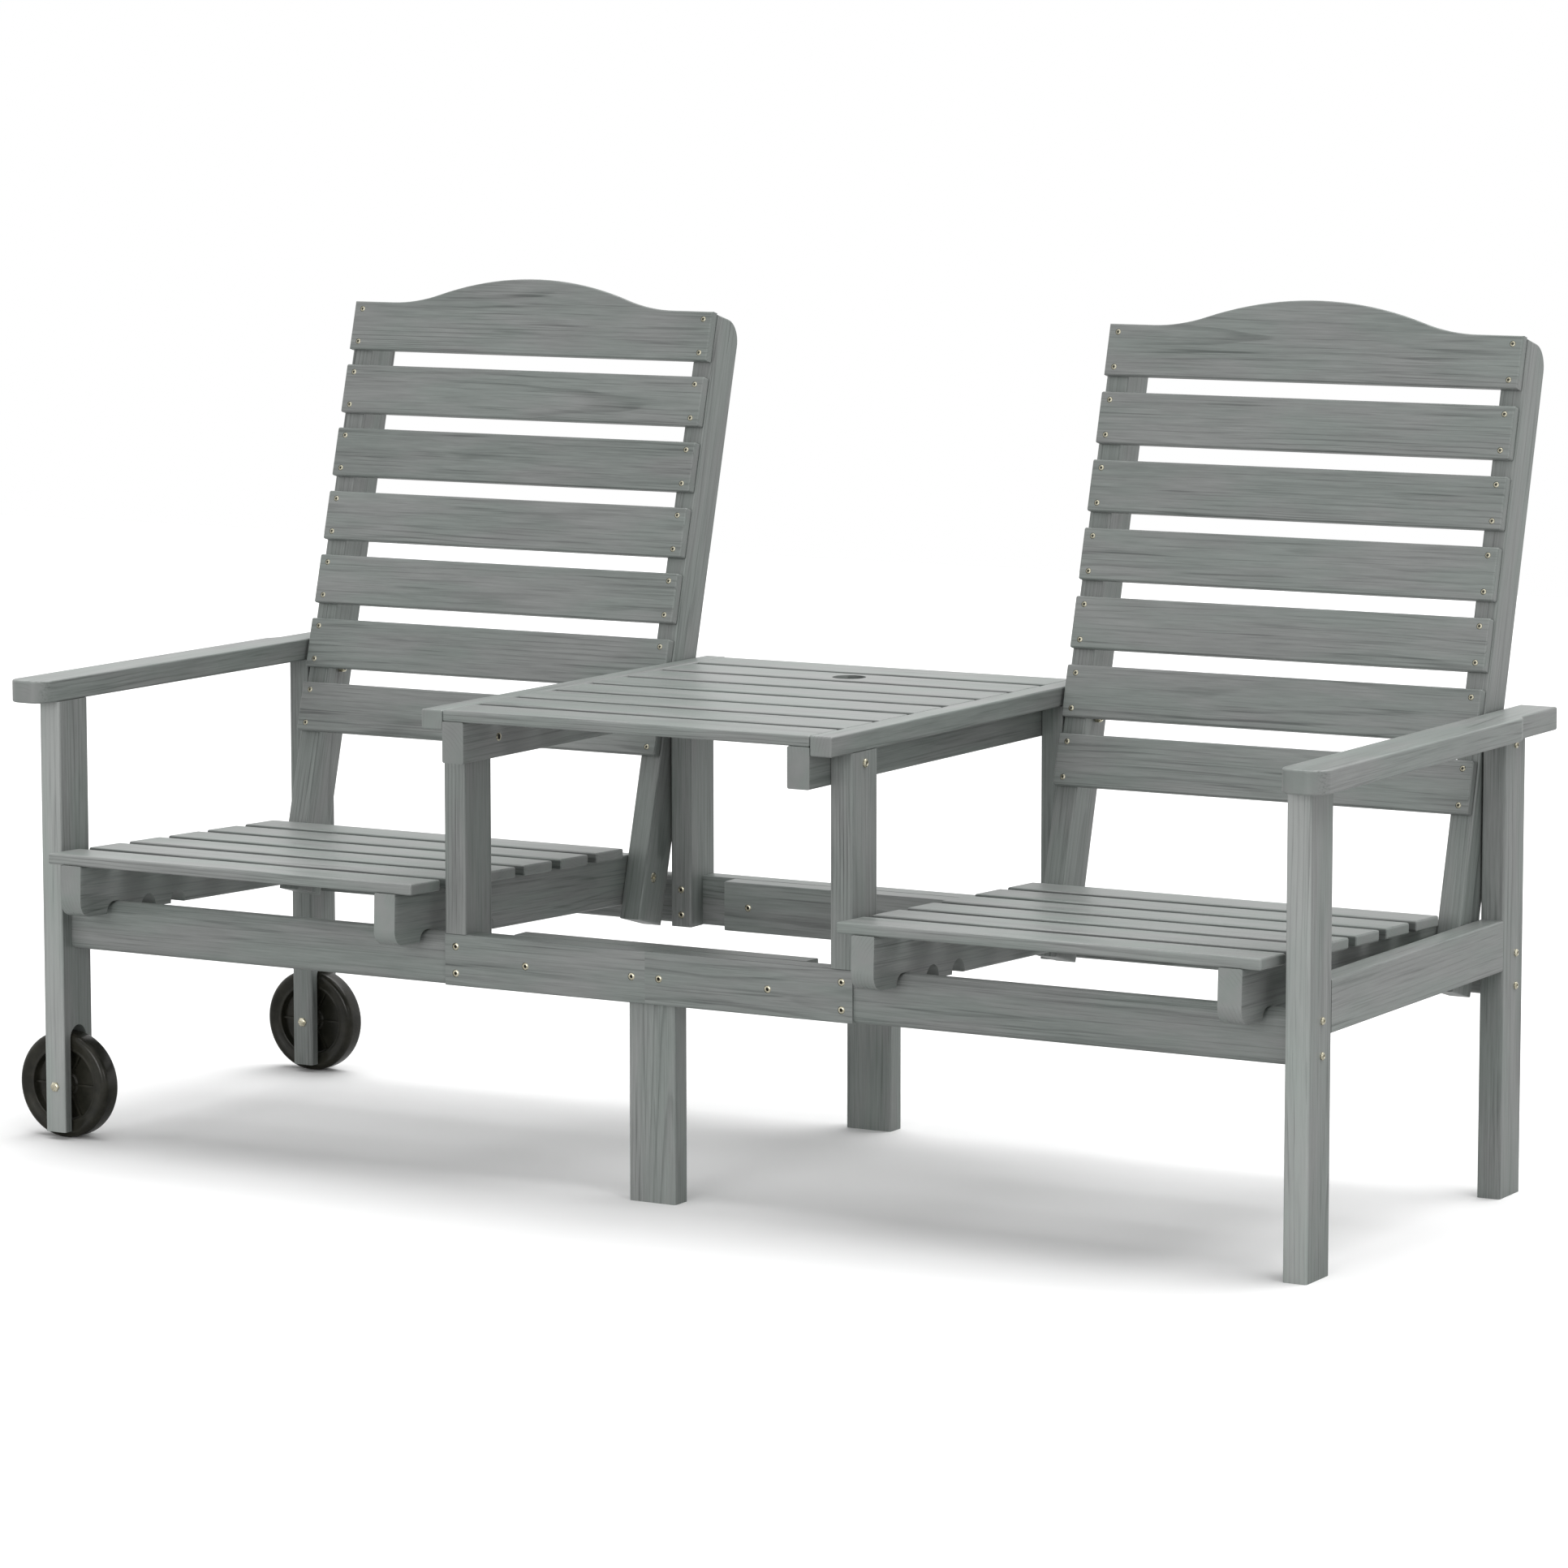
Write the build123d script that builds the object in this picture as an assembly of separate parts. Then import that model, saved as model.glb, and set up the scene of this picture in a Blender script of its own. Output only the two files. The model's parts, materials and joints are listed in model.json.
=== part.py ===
from build123d import *
import math
import os

# A garden companion bench: two reclining armchairs joined by a slatted table, with wheels at the left end.
# Millimetres. X runs along the bench to the right, Y from front to rear and Z up from the floor.
# Pieces are drawn with X = 0 at mid length and Y = 0 at the front of the outer front posts.
# They are written out shifted, so that the origin is the middle of the footprint on the floor.

# Timber
stock = 30.0
post_depth = 60.0
edge_round = 2.5
slat_width = 65.4
slat_thickness = 13.5

# Plan of the frame
chair_bay = 565.0
table_bay = 508.0
side_rail_length = 491.6
inner_post_setback = 17.0
front_rail_setback = 20.0
rear_rail_setback = 6.6

# Heights of the frame
post_height = 560.0
beam_height = 64.0
side_rail_height = 62.0
side_rail_rise = 32.0
rail_lower_round = 8.0

# Middle of the frame
splice_length = 408.0
leg_width = 64.4
leg_thickness = 28.7

# Arms
arm_thickness = 28.2
arm_width = 57.0
arm_inset = 1.0
arm_front_overhang = 33.0
arm_rear_overhang = 50.0
arm_corner = 22.0
arm_step = 9.0
arm_step_run = 28.0
arm_tail = 103.0

# Table
table_front_overhang = 32.0
table_rear_overhang = 31.0
table_end_thickness = 24.4
table_slat_thickness = 13.6
table_slat_width = 70.0
table_slat_count = 8
table_slat_shortfall = 6.0
table_rail_height = 50.3
table_fit = 0.4
umbrella_slats_before_count = 6
umbrella_hole = 43.0

# Backs, measured along each stile from the back pivot
lean = 15.0
pivot_drop = 10.0
pivot_gap = 2.0
stile_depth = 57.0
stile_above = 488.3
stile_below = 305.7
stile_top_round = 30.0
back_slat_count = 7
back_slat_below = 93.7
back_slat_inset = 2.0
crown_lip = 1.7
crown_rise = 36.5
crown_shoulder = 60.0
crown_hollow = 220.0

# Seats, measured from the seat pivot
seat_pivot_distance = 247.7
seat_pivot_forward = 6.0
seat_tilt = 2.0
seat_rail_height = 64.5
seat_rail_below = 35.4
seat_rail_behind = 28.0
seat_gap = 0.5
nose_reach = 80.0
nose_round = 20.0
seat_slat_count = 6
seat_slat_setback = 1.6
seat_slat_rear = 62.0
seat_slat_overhang = 22.0

# Notches under the seat rails
notch_depth = 15.0
notch_pitch = 64.2
notch_straight = 2.0
notch_fit = 0.5
rest_gap = 0.4
notch_mouth = 24.0
notch_mouth_round = 14.0
ramp_start = 7.0
ramp_run = 29.0
ramp_round = 15.0
spare_notches = 2

# Wheels
wheel_diameter = 136.0
wheel_width = 26.0
wheel_round = 8.0
wheel_recess = 92.0
wheel_web = 6.0
wheel_lip = 3.0
hub_diameter = 28.0
hub_length = 31.0
hub_gap = 1.0
rib_count = 6
rib_thickness = 3.0
slot_headroom = 9.0
leg_lift = 10.0

# Fasteners
dowel_diameter = 8.0
dowel_length = 40.0
dowel_fit = 0.1
peg_length = 28.0
peg_in_slat = 9.0
dowel_in_slat = 10.0
dowel_in_end_board = 14.0
post_dowel_spread = 18.0
rail_dowel_spread = 15.0
butt_dowel_spread = 6.5
leg_dowel_x = 16.0
leg_dowel_spread = 7.5
bolt_diameter = 8.0
bolt_head = 13.0
bolt_head_height = 3.0
bolt_fit = 0.1
running_fit = 0.05
nut_height = 8.0
nut_width = 13.0
nut_gap = 0.5
bolt_end = 2.0
washer_diameter = 18.0
washer_thickness = 1.6
rail_bolt_diameter = 6.0
rail_bolt_head = 12.0
rail_bolt_length = 75.0
rail_bolt_spread = 20.0
screw_diameter = 4.5
screw_head = 9.0
screw_length = 50.0
lap_screw_spread = 16.5
splice_screw_outer = 169.0
splice_screw_inner = 19.0
slat_screw_diameter = 4.0
slat_screw_head = 7.2
slat_screw_length = 34.0
slat_screw_inset = 10.5
screw_head_height = 2.0
screw_sunk = 1.5
head_fit = 0.2
seat_head_sunk = 3.2
socket_share = 0.42
socket_depth = 1.2

# Places along the bench, for its right half
inner_x = table_bay / 2
bay_start = inner_x + stock
bay_end = bay_start + chair_bay
outer_x = bay_end + stock
inner_mid_x = inner_x + stock / 2
outer_mid_x = bay_end + stock / 2
bay_mid_x = (bay_start + bay_end) / 2
table_rail_x = inner_x - stock

# Places from front to rear
rear_y = post_depth + side_rail_length
frame_depth = rear_y + post_depth
front_mid_y = post_depth / 2
rear_mid_y = rear_y + post_depth / 2
inner_front_y = inner_post_setback
inner_front_mid_y = inner_front_y + post_depth / 2
front_rail_mid_y = front_rail_setback + stock / 2
rear_rail_mid_y = frame_depth - rear_rail_setback - stock / 2

# Back pivot, seat pivot and the seat's resting place on the front rail
lean_sin = math.sin(math.radians(lean))
lean_cos = math.cos(math.radians(lean))
tilt_sin = math.sin(math.radians(seat_tilt))
tilt_cos = math.cos(math.radians(seat_tilt))
pivot_y = rear_mid_y
pivot_z = post_height - pivot_drop
seat_pivot_y = pivot_y - seat_pivot_distance * lean_sin - seat_pivot_forward * lean_cos
seat_pivot_z = pivot_z - seat_pivot_distance * lean_cos + seat_pivot_forward * lean_sin
notch_top = notch_depth - seat_rail_below
notch_y = (front_rail_mid_y - seat_pivot_y - notch_top * tilt_sin) / tilt_cos

# Heights that follow from the seat
beam_top = seat_pivot_z - notch_y * tilt_sin + notch_top * tilt_cos - rest_gap
beam_bottom = beam_top - beam_height
beam_mid = (beam_bottom + beam_top) / 2
side_rail_top = beam_top + side_rail_rise
side_rail_mid = side_rail_top - side_rail_height / 2

# Heights and spans of the table, level with the arms
table_top = post_height + arm_thickness
table_rail_top = table_top - table_slat_thickness
table_rail_mid = table_rail_top - table_rail_height / 2
inner_post_top = table_top - table_end_thickness
table_front = -table_front_overhang
table_rear = frame_depth + table_rear_overhang
table_slat_span = table_rear - table_slat_shortfall - table_front
table_slat_pitch = (table_slat_span - table_slat_width) / (table_slat_count - 1)

# Spans of a chair's moving parts, for the right chair
stile_inner_x = bay_start + pivot_gap
stile_outer_x = bay_end - pivot_gap
seat_rail_inner_x = stile_inner_x + stock + seat_gap
seat_rail_outer_x = stile_outer_x - stock - seat_gap
slat_plane = -stile_depth / 2 - slat_thickness
back_slat_pitch = (stile_above + crown_lip + back_slat_below - slat_width) / (back_slat_count - 1)
back_slat_length = stile_outer_x - stile_inner_x - 2 * back_slat_inset
seat_front = notch_y - nose_reach
seat_bottom = -seat_rail_below
seat_top = seat_rail_height - seat_rail_below
seat_slat_span = -seat_slat_rear - seat_front - seat_slat_setback
seat_slat_pitch = (seat_slat_span - slat_width) / (seat_slat_count - 1)
seat_slat_length = seat_rail_outer_x - seat_rail_inner_x + 2 * seat_slat_overhang

# Wheels and the slots in the left legs
axle_z = wheel_diameter / 2
slot_width = hub_length + 2 * hub_gap
slot_top = wheel_diameter + slot_headroom

# Middle of the footprint
left_end = -outer_mid_x - wheel_diameter / 2
right_end = bay_end + arm_inset + arm_width
nose_arc_y = seat_front + nose_round
nose_arc_z = seat_bottom + nose_round
front_end = seat_pivot_y + nose_arc_y * tilt_cos + nose_arc_z * tilt_sin - nose_round
stile_arc_y = stile_depth / 2 - stile_top_round
stile_arc_z = stile_above - stile_top_round
rear_end = pivot_y + stile_arc_y * lean_cos + stile_arc_z * lean_sin + stile_top_round
footprint = Pos(-(left_end + right_end) / 2, -(front_end + rear_end) / 2, 0)

# Frames of the tilted pieces
back_frame = Pos(0, pivot_y, pivot_z) * Rot(-lean, 0, 0)
seat_frame = Pos(0, seat_pivot_y, seat_pivot_z) * Rot(-seat_tilt, 0, 0)


def mirrored(piece):
    """The same piece at the other end of the bench."""
    return mirror(piece, about=Plane.YZ)


def spread(middle, offset):
    """Two places, one on each side of a middle."""
    return (middle - offset, middle + offset)


def block(x_span, y_span, z_span):
    """A plain rectangular block between three pairs of limits."""
    spans = (x_span, y_span, z_span)
    middle = [(low + high) / 2 for low, high in spans]
    return Pos(*middle) * Box(*[high - low for low, high in spans])


def timber(x_span, y_span, z_span, grain):
    """A rectangular timber with the edges along its grain rounded."""
    piece = block(x_span, y_span, z_span)
    return fillet(piece.edges().filter_by(grain), edge_round)


def slat(x_span, y_span, z_span):
    """A board with every edge rounded."""
    piece = block(x_span, y_span, z_span)
    return fillet(piece.edges(), edge_round)


def rod(start, direction, diameter, length):
    """A round bar from a start point along a direction."""
    bar = Cylinder(diameter / 2, length, align=(Align.CENTER, Align.CENTER, Align.MIN))
    return Plane(origin=start, z_dir=direction) * bar


def drill(piece, holes):
    """The piece with every hole that reaches it cut away."""
    box = piece.bounding_box()
    near = [hole for hole in holes if box.overlaps(hole.bounding_box())]
    return piece - near if near else piece


def headed(surface, direction, diameter, length, head, height, sunk):
    """A bolt or screw with a round head and a six-sided socket, its head sunk below a surface."""
    ahead = Vector(*direction).normalized()
    seat = Vector(*surface) + ahead * sunk
    crown = seat - ahead * height
    shank = rod(seat, ahead, diameter, length)
    cap = fillet(rod(crown, ahead, head, height).edges().sort_by(Axis(crown, ahead))[:1], height / 3)
    hexagon = RegularPolygon(head * socket_share / 2, 6)
    socket = extrude(Plane(origin=crown, z_dir=ahead) * hexagon, socket_depth)
    return shank + cap - socket


def headed_hole(surface, direction, diameter, length, head, sunk, fit):
    """The room for a bolt or screw: its shank hole and the recess of its head."""
    ahead = Vector(*direction).normalized()
    hole = rod(surface, ahead, diameter + 2 * fit, length + sunk)
    if sunk:
        hole += rod(surface, ahead, head + 2 * head_fit, sunk)
    return hole


def nut(face, direction):
    """A lock nut whose bearing side lies on a face."""
    outline = RegularPolygon(nut_width / 2, 6, major_radius=False)
    body = extrude(Plane(origin=face, z_dir=direction) * outline, nut_height)
    return body - rod(face, direction, bolt_diameter + 2 * bolt_fit, nut_height)


# Fasteners of the right half of the frame

def dowel_starts():
    """Start points and directions of the frame's dowels, each half in one piece and half in its neighbour."""
    half = dowel_length / 2
    starts = []
    for y in (post_depth, rear_y):
        for z in spread(side_rail_mid, rail_dowel_spread):
            starts.append(((outer_mid_x, y - half, z), (0, 1, 0)))
    front_shared_y = (max(front_rail_setback, inner_front_y) + inner_front_y + stock) / 2
    rear_shared_y = (rear_mid_y + rear_rail_mid_y + stock / 2) / 2
    for y in (front_shared_y, rear_shared_y):
        for z in spread(beam_mid, butt_dowel_spread):
            starts.append(((bay_start - half, y, z), (1, 0, 0)))
    for y in spread(front_mid_y, post_dowel_spread) + spread(rear_mid_y, post_dowel_spread):
        starts.append(((outer_mid_x, y, post_height - half), (0, 0, 1)))
    end_board_z = inner_post_top + dowel_in_end_board - dowel_length
    for y in spread(inner_front_mid_y, post_dowel_spread) + spread(rear_mid_y, post_dowel_spread):
        starts.append(((inner_mid_x, y, end_board_z), (0, 0, 1)))
    slat_z = table_rail_top + dowel_in_slat - dowel_length
    for index in range(table_slat_count):
        slat_mid_y = table_slat_y(index) + table_slat_width / 2
        starts.append(((inner_x - stock / 2, slat_mid_y, slat_z), (0, 0, 1)))
    for middle in (inner_front_mid_y, rear_mid_y):
        for y in spread(middle, leg_dowel_spread):
            starts.append(((leg_dowel_x, y, beam_bottom - half), (0, 0, 1)))
    return starts


def rail_bolt_places():
    """Where the bolts enter the outer post to reach the ends of the chair's rails."""
    rows = (front_rail_mid_y, rear_rail_mid_y)
    return [(outer_x, y, z) for y in rows for z in spread(beam_mid, rail_bolt_spread)]


def wood_screw_places():
    """Where screws enter the front boards, the rear splice and the lapped feet of the inner posts."""
    places = []
    for y in (inner_front_y, rear_y):
        places += [(inner_mid_x, y, z) for z in spread(beam_mid, lap_screw_spread)]
        places += [(x, y, beam_mid) for x in (splice_screw_inner, splice_screw_outer)]
    return places


def table_slat_y(index):
    """Front edge of a table slat, counted from the front."""
    return table_front + index * table_slat_pitch


table_bolt_length = 2 * stock + nut_height + bolt_end
inner_pivot_length = 3 * stock + pivot_gap + nut_gap + nut_height + bolt_end
outer_pivot_length = inner_pivot_length - stock
axle_length = post_depth + nut_height + bolt_end
table_bolt_place = (bay_start, inner_front_mid_y, table_rail_mid)
inner_pivot_place = (table_rail_x, pivot_y, pivot_z)
outer_pivot_place = (outer_x, pivot_y, pivot_z)
inward = (-1, 0, 0)
outward = (1, 0, 0)
rearward = (0, 1, 0)

right_dowels = [rod(start, way, dowel_diameter, dowel_length) for start, way in dowel_starts()]
right_rail_bolts = [
    headed(place, inward, rail_bolt_diameter, rail_bolt_length, rail_bolt_head, bolt_head_height, 0)
    for place in rail_bolt_places()
]
right_wood_screws = [
    headed(place, rearward, screw_diameter, screw_length, screw_head, screw_head_height, screw_sunk)
    for place in wood_screw_places()
]
right_table_bolts = [
    headed(table_bolt_place, inward, bolt_diameter, table_bolt_length, bolt_head, bolt_head_height, 0)
]
right_pivot_bolts = [
    headed(inner_pivot_place, outward, bolt_diameter, inner_pivot_length, bolt_head, bolt_head_height, 0),
    headed(outer_pivot_place, inward, bolt_diameter, outer_pivot_length, bolt_head, bolt_head_height, 0),
]
right_lock_nuts = [
    nut((table_rail_x, inner_front_mid_y, table_rail_mid), inward),
    nut((stile_inner_x + stock + nut_gap, pivot_y, pivot_z), outward),
    nut((stile_outer_x - stock - nut_gap, pivot_y, pivot_z), inward),
]
right_washers = [
    rod(face, way, washer_diameter, washer_thickness)
    - rod(face, way, bolt_diameter + 2 * bolt_fit, washer_thickness)
    for face, way in (((bay_start, pivot_y, pivot_z), outward), ((bay_end, pivot_y, pivot_z), inward))
]

right_holes = [rod(start, way, dowel_diameter + 2 * dowel_fit, dowel_length) for start, way in dowel_starts()]
right_holes += [
    headed_hole(place, inward, rail_bolt_diameter, rail_bolt_length, rail_bolt_head, 0, bolt_fit)
    for place in rail_bolt_places()
]
right_holes += [
    headed_hole(place, rearward, screw_diameter, screw_length, screw_head, screw_sunk, bolt_fit)
    for place in wood_screw_places()
]
right_holes += [
    headed_hole(table_bolt_place, inward, bolt_diameter, table_bolt_length, bolt_head, 0, bolt_fit),
    headed_hole(inner_pivot_place, outward, bolt_diameter, inner_pivot_length, bolt_head, 0, bolt_fit),
    headed_hole(outer_pivot_place, inward, bolt_diameter, outer_pivot_length, bolt_head, 0, bolt_fit),
]
all_holes = right_holes + [mirrored(hole) for hole in right_holes]


# Frame of a chair, right-hand side

def outer_post(front_y):
    """An outer post, bored for its rails, its arm and, at the rear, the back pivot."""
    post = timber((bay_end, outer_x), (front_y, front_y + post_depth), (0, post_height), Axis.Z)
    return drill(post, right_holes)


def wheel_post(front_y):
    """A left outer post, cut short and slotted for its wheel."""
    middle_y = front_y + post_depth / 2
    post = mirrored(outer_post(front_y))
    short = block((-outer_x, -bay_end), (front_y, front_y + post_depth), (0, leg_lift))
    crown_z = slot_top - slot_width / 2
    slot = block((-outer_x, -bay_end), spread(middle_y, slot_width / 2), (0, crown_z))
    slot_crown = rod((-outer_x, middle_y, crown_z), outward, slot_width, stock)
    axle_hole = rod((-outer_mid_x, front_y, axle_z), rearward, bolt_diameter + 2 * bolt_fit, post_depth)
    return post - [short, slot, slot_crown, axle_hole]


def arm():
    """An arm with round front corners, narrowed by a shallow step towards its tail."""
    inner = bay_end + arm_inset
    outer = inner + arm_width
    front = -arm_front_overhang
    rear = frame_depth + arm_rear_overhang
    tail_start = rear - arm_tail
    step_start = tail_start - arm_step_run
    step_middle = (outer - arm_step / 2, (step_start + tail_start) / 2)
    tail = outer - arm_step
    corners = [(tail, rear), (inner, rear), (inner, front), (outer, front)]
    straight = Polyline((tail, tail_start), *corners, (outer, step_start))
    swell = TangentArc((outer, step_start), step_middle, tangent=(0, 1))
    waist = TangentArc((tail, tail_start), step_middle, tangent=(0, -1))
    outline = make_face(straight.edges() + swell.edges() + waist.edges())
    outline = fillet(outline.vertices().sort_by(Axis.Y)[:2], arm_corner)
    piece = Pos(0, 0, post_height) * extrude(outline, arm_thickness)
    piece = fillet(piece.faces().sort_by(Axis.Z)[-1].edges(), edge_round)
    piece = fillet(piece.faces().sort_by(Axis.Z)[0].edges(), edge_round)
    return drill(piece, right_holes)


def side_rail():
    """The rail between the outer posts, under the arm."""
    z_span = spread(side_rail_mid, side_rail_height / 2)
    rail = timber((bay_end, outer_x), (post_depth, rear_y), z_span, Axis.Y)
    return drill(rail, right_holes)


def chair_rail(middle_y):
    """A chair's front or rear rail, with a fully rounded top for the seat's notches."""
    round_z = beam_top - stock / 2
    web = Pos(middle_y, (beam_bottom + round_z) / 2) * Rectangle(stock, round_z - beam_bottom)
    web = fillet(web.vertices().sort_by(Axis.Y)[:2], rail_lower_round)
    section = web + Pos(middle_y, round_z) * Circle(stock / 2)
    rail = extrude(Plane.YZ.offset(bay_start) * section, chair_bay)
    return drill(rail, right_holes)


def inner_post(front_y, board_y):
    """An inner post, its foot lapped to take the end of a board."""
    y_span = (front_y, front_y + post_depth)
    post = timber((inner_x, bay_start), y_span, (beam_bottom, inner_post_top), Axis.Z)
    lap = block((inner_x, bay_start), (board_y, board_y + stock), (beam_bottom, beam_top))
    return drill(post - lap, right_holes)


# Beams and legs under the table

def beam_board(y):
    """One of the two boards that meet at mid length."""
    board = timber((0, bay_start), (y, y + stock), (beam_bottom, beam_top), Axis.X)
    return drill(board, right_holes)


def splice(y):
    """The board behind the joint of two beam boards."""
    board = timber(spread(0, splice_length / 2), (y, y + stock), (beam_bottom, beam_top), Axis.X)
    return drill(board, all_holes)


def middle_leg(middle_y):
    """A leg under the middle of a beam."""
    leg = timber(spread(0, leg_width / 2), spread(middle_y, leg_thickness / 2), (0, beam_bottom), Axis.Z)
    return drill(leg, all_holes)


# Table

def table_end_board():
    """The board across a pair of inner posts."""
    board = slat((inner_x, bay_start), (table_front, table_rear), (inner_post_top, table_top))
    return drill(board, right_holes)


def table_rail():
    """The rail on the table side of a pair of inner posts, under the slats."""
    z_span = (table_rail_top - table_rail_height, table_rail_top)
    rail = timber((table_rail_x, inner_x), (table_front, table_rear), z_span, Axis.Y)
    return drill(rail, right_holes)


def table_slat(index):
    """A table slat between the end boards."""
    front = table_slat_y(index)
    x_span = spread(0, inner_x - table_fit)
    board = slat(x_span, (front, front + table_slat_width), (table_rail_top, table_top))
    return drill(board, all_holes)


def umbrella_slat():
    """The table slat with the umbrella hole."""
    middle_y = table_slat_y(umbrella_slats_before_count) + table_slat_width / 2
    hole = rod((0, middle_y, table_rail_top), (0, 0, 1), umbrella_hole, table_slat_thickness)
    return table_slat(umbrella_slats_before_count) - hole


# Back of the right chair, drawn upright about its pivot and then leaned

def seat_pivot_in_back():
    """The seat pivot's place across and along a stile."""
    return (-seat_pivot_forward, -seat_pivot_distance)


def stile(x_start):
    """A back stile, bored for the back pivot, the seat pivot bolt and the slat screws."""
    outline = Pos(0, (stile_above - stile_below) / 2) * Rectangle(stile_depth, stile_above + stile_below)
    outline = fillet(outline.vertices().group_by(Axis.Y)[-1].sort_by(Axis.X)[-1:], stile_top_round)
    piece = extrude(Plane.YZ.offset(x_start) * outline, stock)
    sides = piece.faces().filter_by(Axis.X)
    piece = fillet(sides[0].edges() + sides[-1].edges(), edge_round)
    bore = rod((x_start, 0, 0), outward, bolt_diameter + 2 * running_fit, stock)
    return back_frame * drill(piece - bore, slat_screw_holes() + seat_bolt_holes())


def slat_screw_places():
    """Where screws enter the back slats, two over each stile."""
    places = []
    for index in range(back_slat_count):
        low = index * back_slat_pitch - back_slat_below
        for z in (low + slat_screw_inset, low + slat_width - slat_screw_inset):
            for x in (stile_inner_x + stock / 2, stile_outer_x - stock / 2):
                places.append((x, slat_plane, z))
    return places


def slat_screw_holes():
    """Holes of the back screws, in the upright back."""
    size = (slat_screw_diameter, slat_screw_length, slat_screw_head, screw_sunk, bolt_fit)
    return [headed_hole(place, rearward, *size) for place in slat_screw_places()]


def seat_bolt_places():
    """Where the seat pivot bolts enter the stiles, from the faces next to the posts."""
    y, z = seat_pivot_in_back()
    return [((stile_inner_x, y, z), outward), ((stile_outer_x, y, z), inward)]


def seat_bolt_holes():
    """Holes and head recesses of the seat pivot bolts in the stiles."""
    return [
        headed_hole(place, way, bolt_diameter, stock, bolt_head, seat_head_sunk, bolt_fit)
        for place, way in seat_bolt_places()
    ]


def back_slat(index):
    """A plain back slat, counted from the lowest."""
    low = index * back_slat_pitch - back_slat_below
    x_span = spread(bay_mid_x, back_slat_length / 2)
    board = slat(x_span, (slat_plane, slat_plane + slat_thickness), (low, low + slat_width))
    return back_frame * drill(board, slat_screw_holes())


def crown_slat():
    """The top slat, rising in a low arch between two flat shoulders."""
    low = (back_slat_count - 1) * back_slat_pitch - back_slat_below
    shoulder_z = low + slat_width
    half = back_slat_length / 2
    reach = half - crown_shoulder
    arch = (reach**2 + crown_rise**2) / (2 * crown_rise) - crown_hollow
    turn_x = reach * arch / (arch + crown_hollow)
    turn_z = shoulder_z + crown_rise - arch + math.sqrt(arch**2 - turn_x**2)
    corners = [(-half, shoulder_z), (-half, low), (half, low), (half, shoulder_z)]
    lower = Polyline((-reach, shoulder_z), *corners, (reach, shoulder_z))
    right_hollow = TangentArc((reach, shoulder_z), (turn_x, turn_z), tangent=(-1, 0))
    left_hollow = TangentArc((-reach, shoulder_z), (-turn_x, turn_z), tangent=(1, 0))
    top = ThreePointArc((turn_x, turn_z), (0, shoulder_z + crown_rise), (-turn_x, turn_z))
    outline = make_face(lower.edges() + right_hollow.edges() + top.edges() + left_hollow.edges())
    front = Plane(origin=(bay_mid_x, slat_plane, 0), x_dir=(1, 0, 0), z_dir=(0, -1, 0))
    board = extrude(front * outline, -slat_thickness)
    faces = board.faces().sort_by(Axis.Y)
    board = fillet(faces[0].edges() + faces[-1].edges(), edge_round)
    return back_frame * drill(board, slat_screw_holes())


def back_screws():
    """The screws of one back."""
    size = (slat_screw_diameter, slat_screw_length, slat_screw_head, screw_head_height, screw_sunk)
    return [back_frame * headed(place, rearward, *size) for place in slat_screw_places()]


def seat_pivot_bolts():
    """The bolts on which one seat turns, with their lock nuts."""
    length = 2 * stock + seat_gap + nut_gap + nut_height + bolt_end - seat_head_sunk
    reach = 2 * stock + seat_gap + nut_gap
    pieces = []
    for place, way in seat_bolt_places():
        bolt = headed(place, way, bolt_diameter, length, bolt_head, bolt_head_height, seat_head_sunk)
        face = Vector(*place) + Vector(*way) * reach
        pieces += [back_frame * bolt, back_frame * nut(face, way)]
    return pieces


# Seat of the right chair, drawn level about its pivot and then tilted

def front_notch():
    """The notch that rests on the front rail, with a ramp behind it to lift the seat out."""
    below = seat_bottom - notch_depth
    top = seat_bottom + notch_depth
    ramp_end = ramp_start + 2 * ramp_run
    corners = [(-notch_mouth, below), (-notch_mouth, top), (ramp_start, top), (ramp_end, below)]
    outline = Pos(notch_y, 0) * make_face(Polyline(*corners, close=True))
    upper = outline.vertices().group_by(Axis.Y)[-1].sort_by(Axis.X)
    outline = fillet(upper[0], notch_mouth_round)
    upper = outline.vertices().sort_by_distance((notch_y + ramp_start, top, 0))
    return fillet(upper[0], ramp_round)


def spare_notch(number):
    """A round notch for a more reclined place."""
    radius = stock / 2 + notch_fit
    centre_y = notch_y + number * notch_pitch
    centre_z = seat_bottom + notch_straight
    mouth = Pos(centre_y, centre_z - radius / 2) * Rectangle(2 * radius, radius)
    return mouth + Pos(centre_y, centre_z) * Circle(radius)


def seat_rail(x_start):
    """A seat rail with its notches, pinned to a stile at the rear."""
    length = seat_rail_behind - seat_front
    middle = Pos((seat_front + seat_rail_behind) / 2, (seat_bottom + seat_top) / 2)
    outline = middle * Rectangle(length, seat_rail_height)
    corners = outline.vertices().sort_by(Axis.X)
    outline = fillet(corners[2:], seat_rail_behind)
    nose = outline.vertices().group_by(Axis.X)[0].sort_by(Axis.Y)[:1]
    outline = fillet(nose, nose_round)
    outline -= front_notch()
    for number in range(1, spare_notches + 1):
        outline -= spare_notch(number)
    piece = extrude(Plane.YZ.offset(x_start) * outline, stock)
    upper = piece.faces().sort_by(Axis.Z)[-1]
    piece = fillet(upper.edges().filter_by(Axis.Y), edge_round)
    bore = rod((x_start, 0, 0), outward, bolt_diameter + 2 * running_fit, stock)
    return seat_frame * drill(piece - bore, seat_peg_rods(dowel_diameter + 2 * dowel_fit))


def seat_slat_y(index):
    """Front edge of a seat slat, counted from the front."""
    return seat_front + seat_slat_setback + index * seat_slat_pitch


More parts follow.
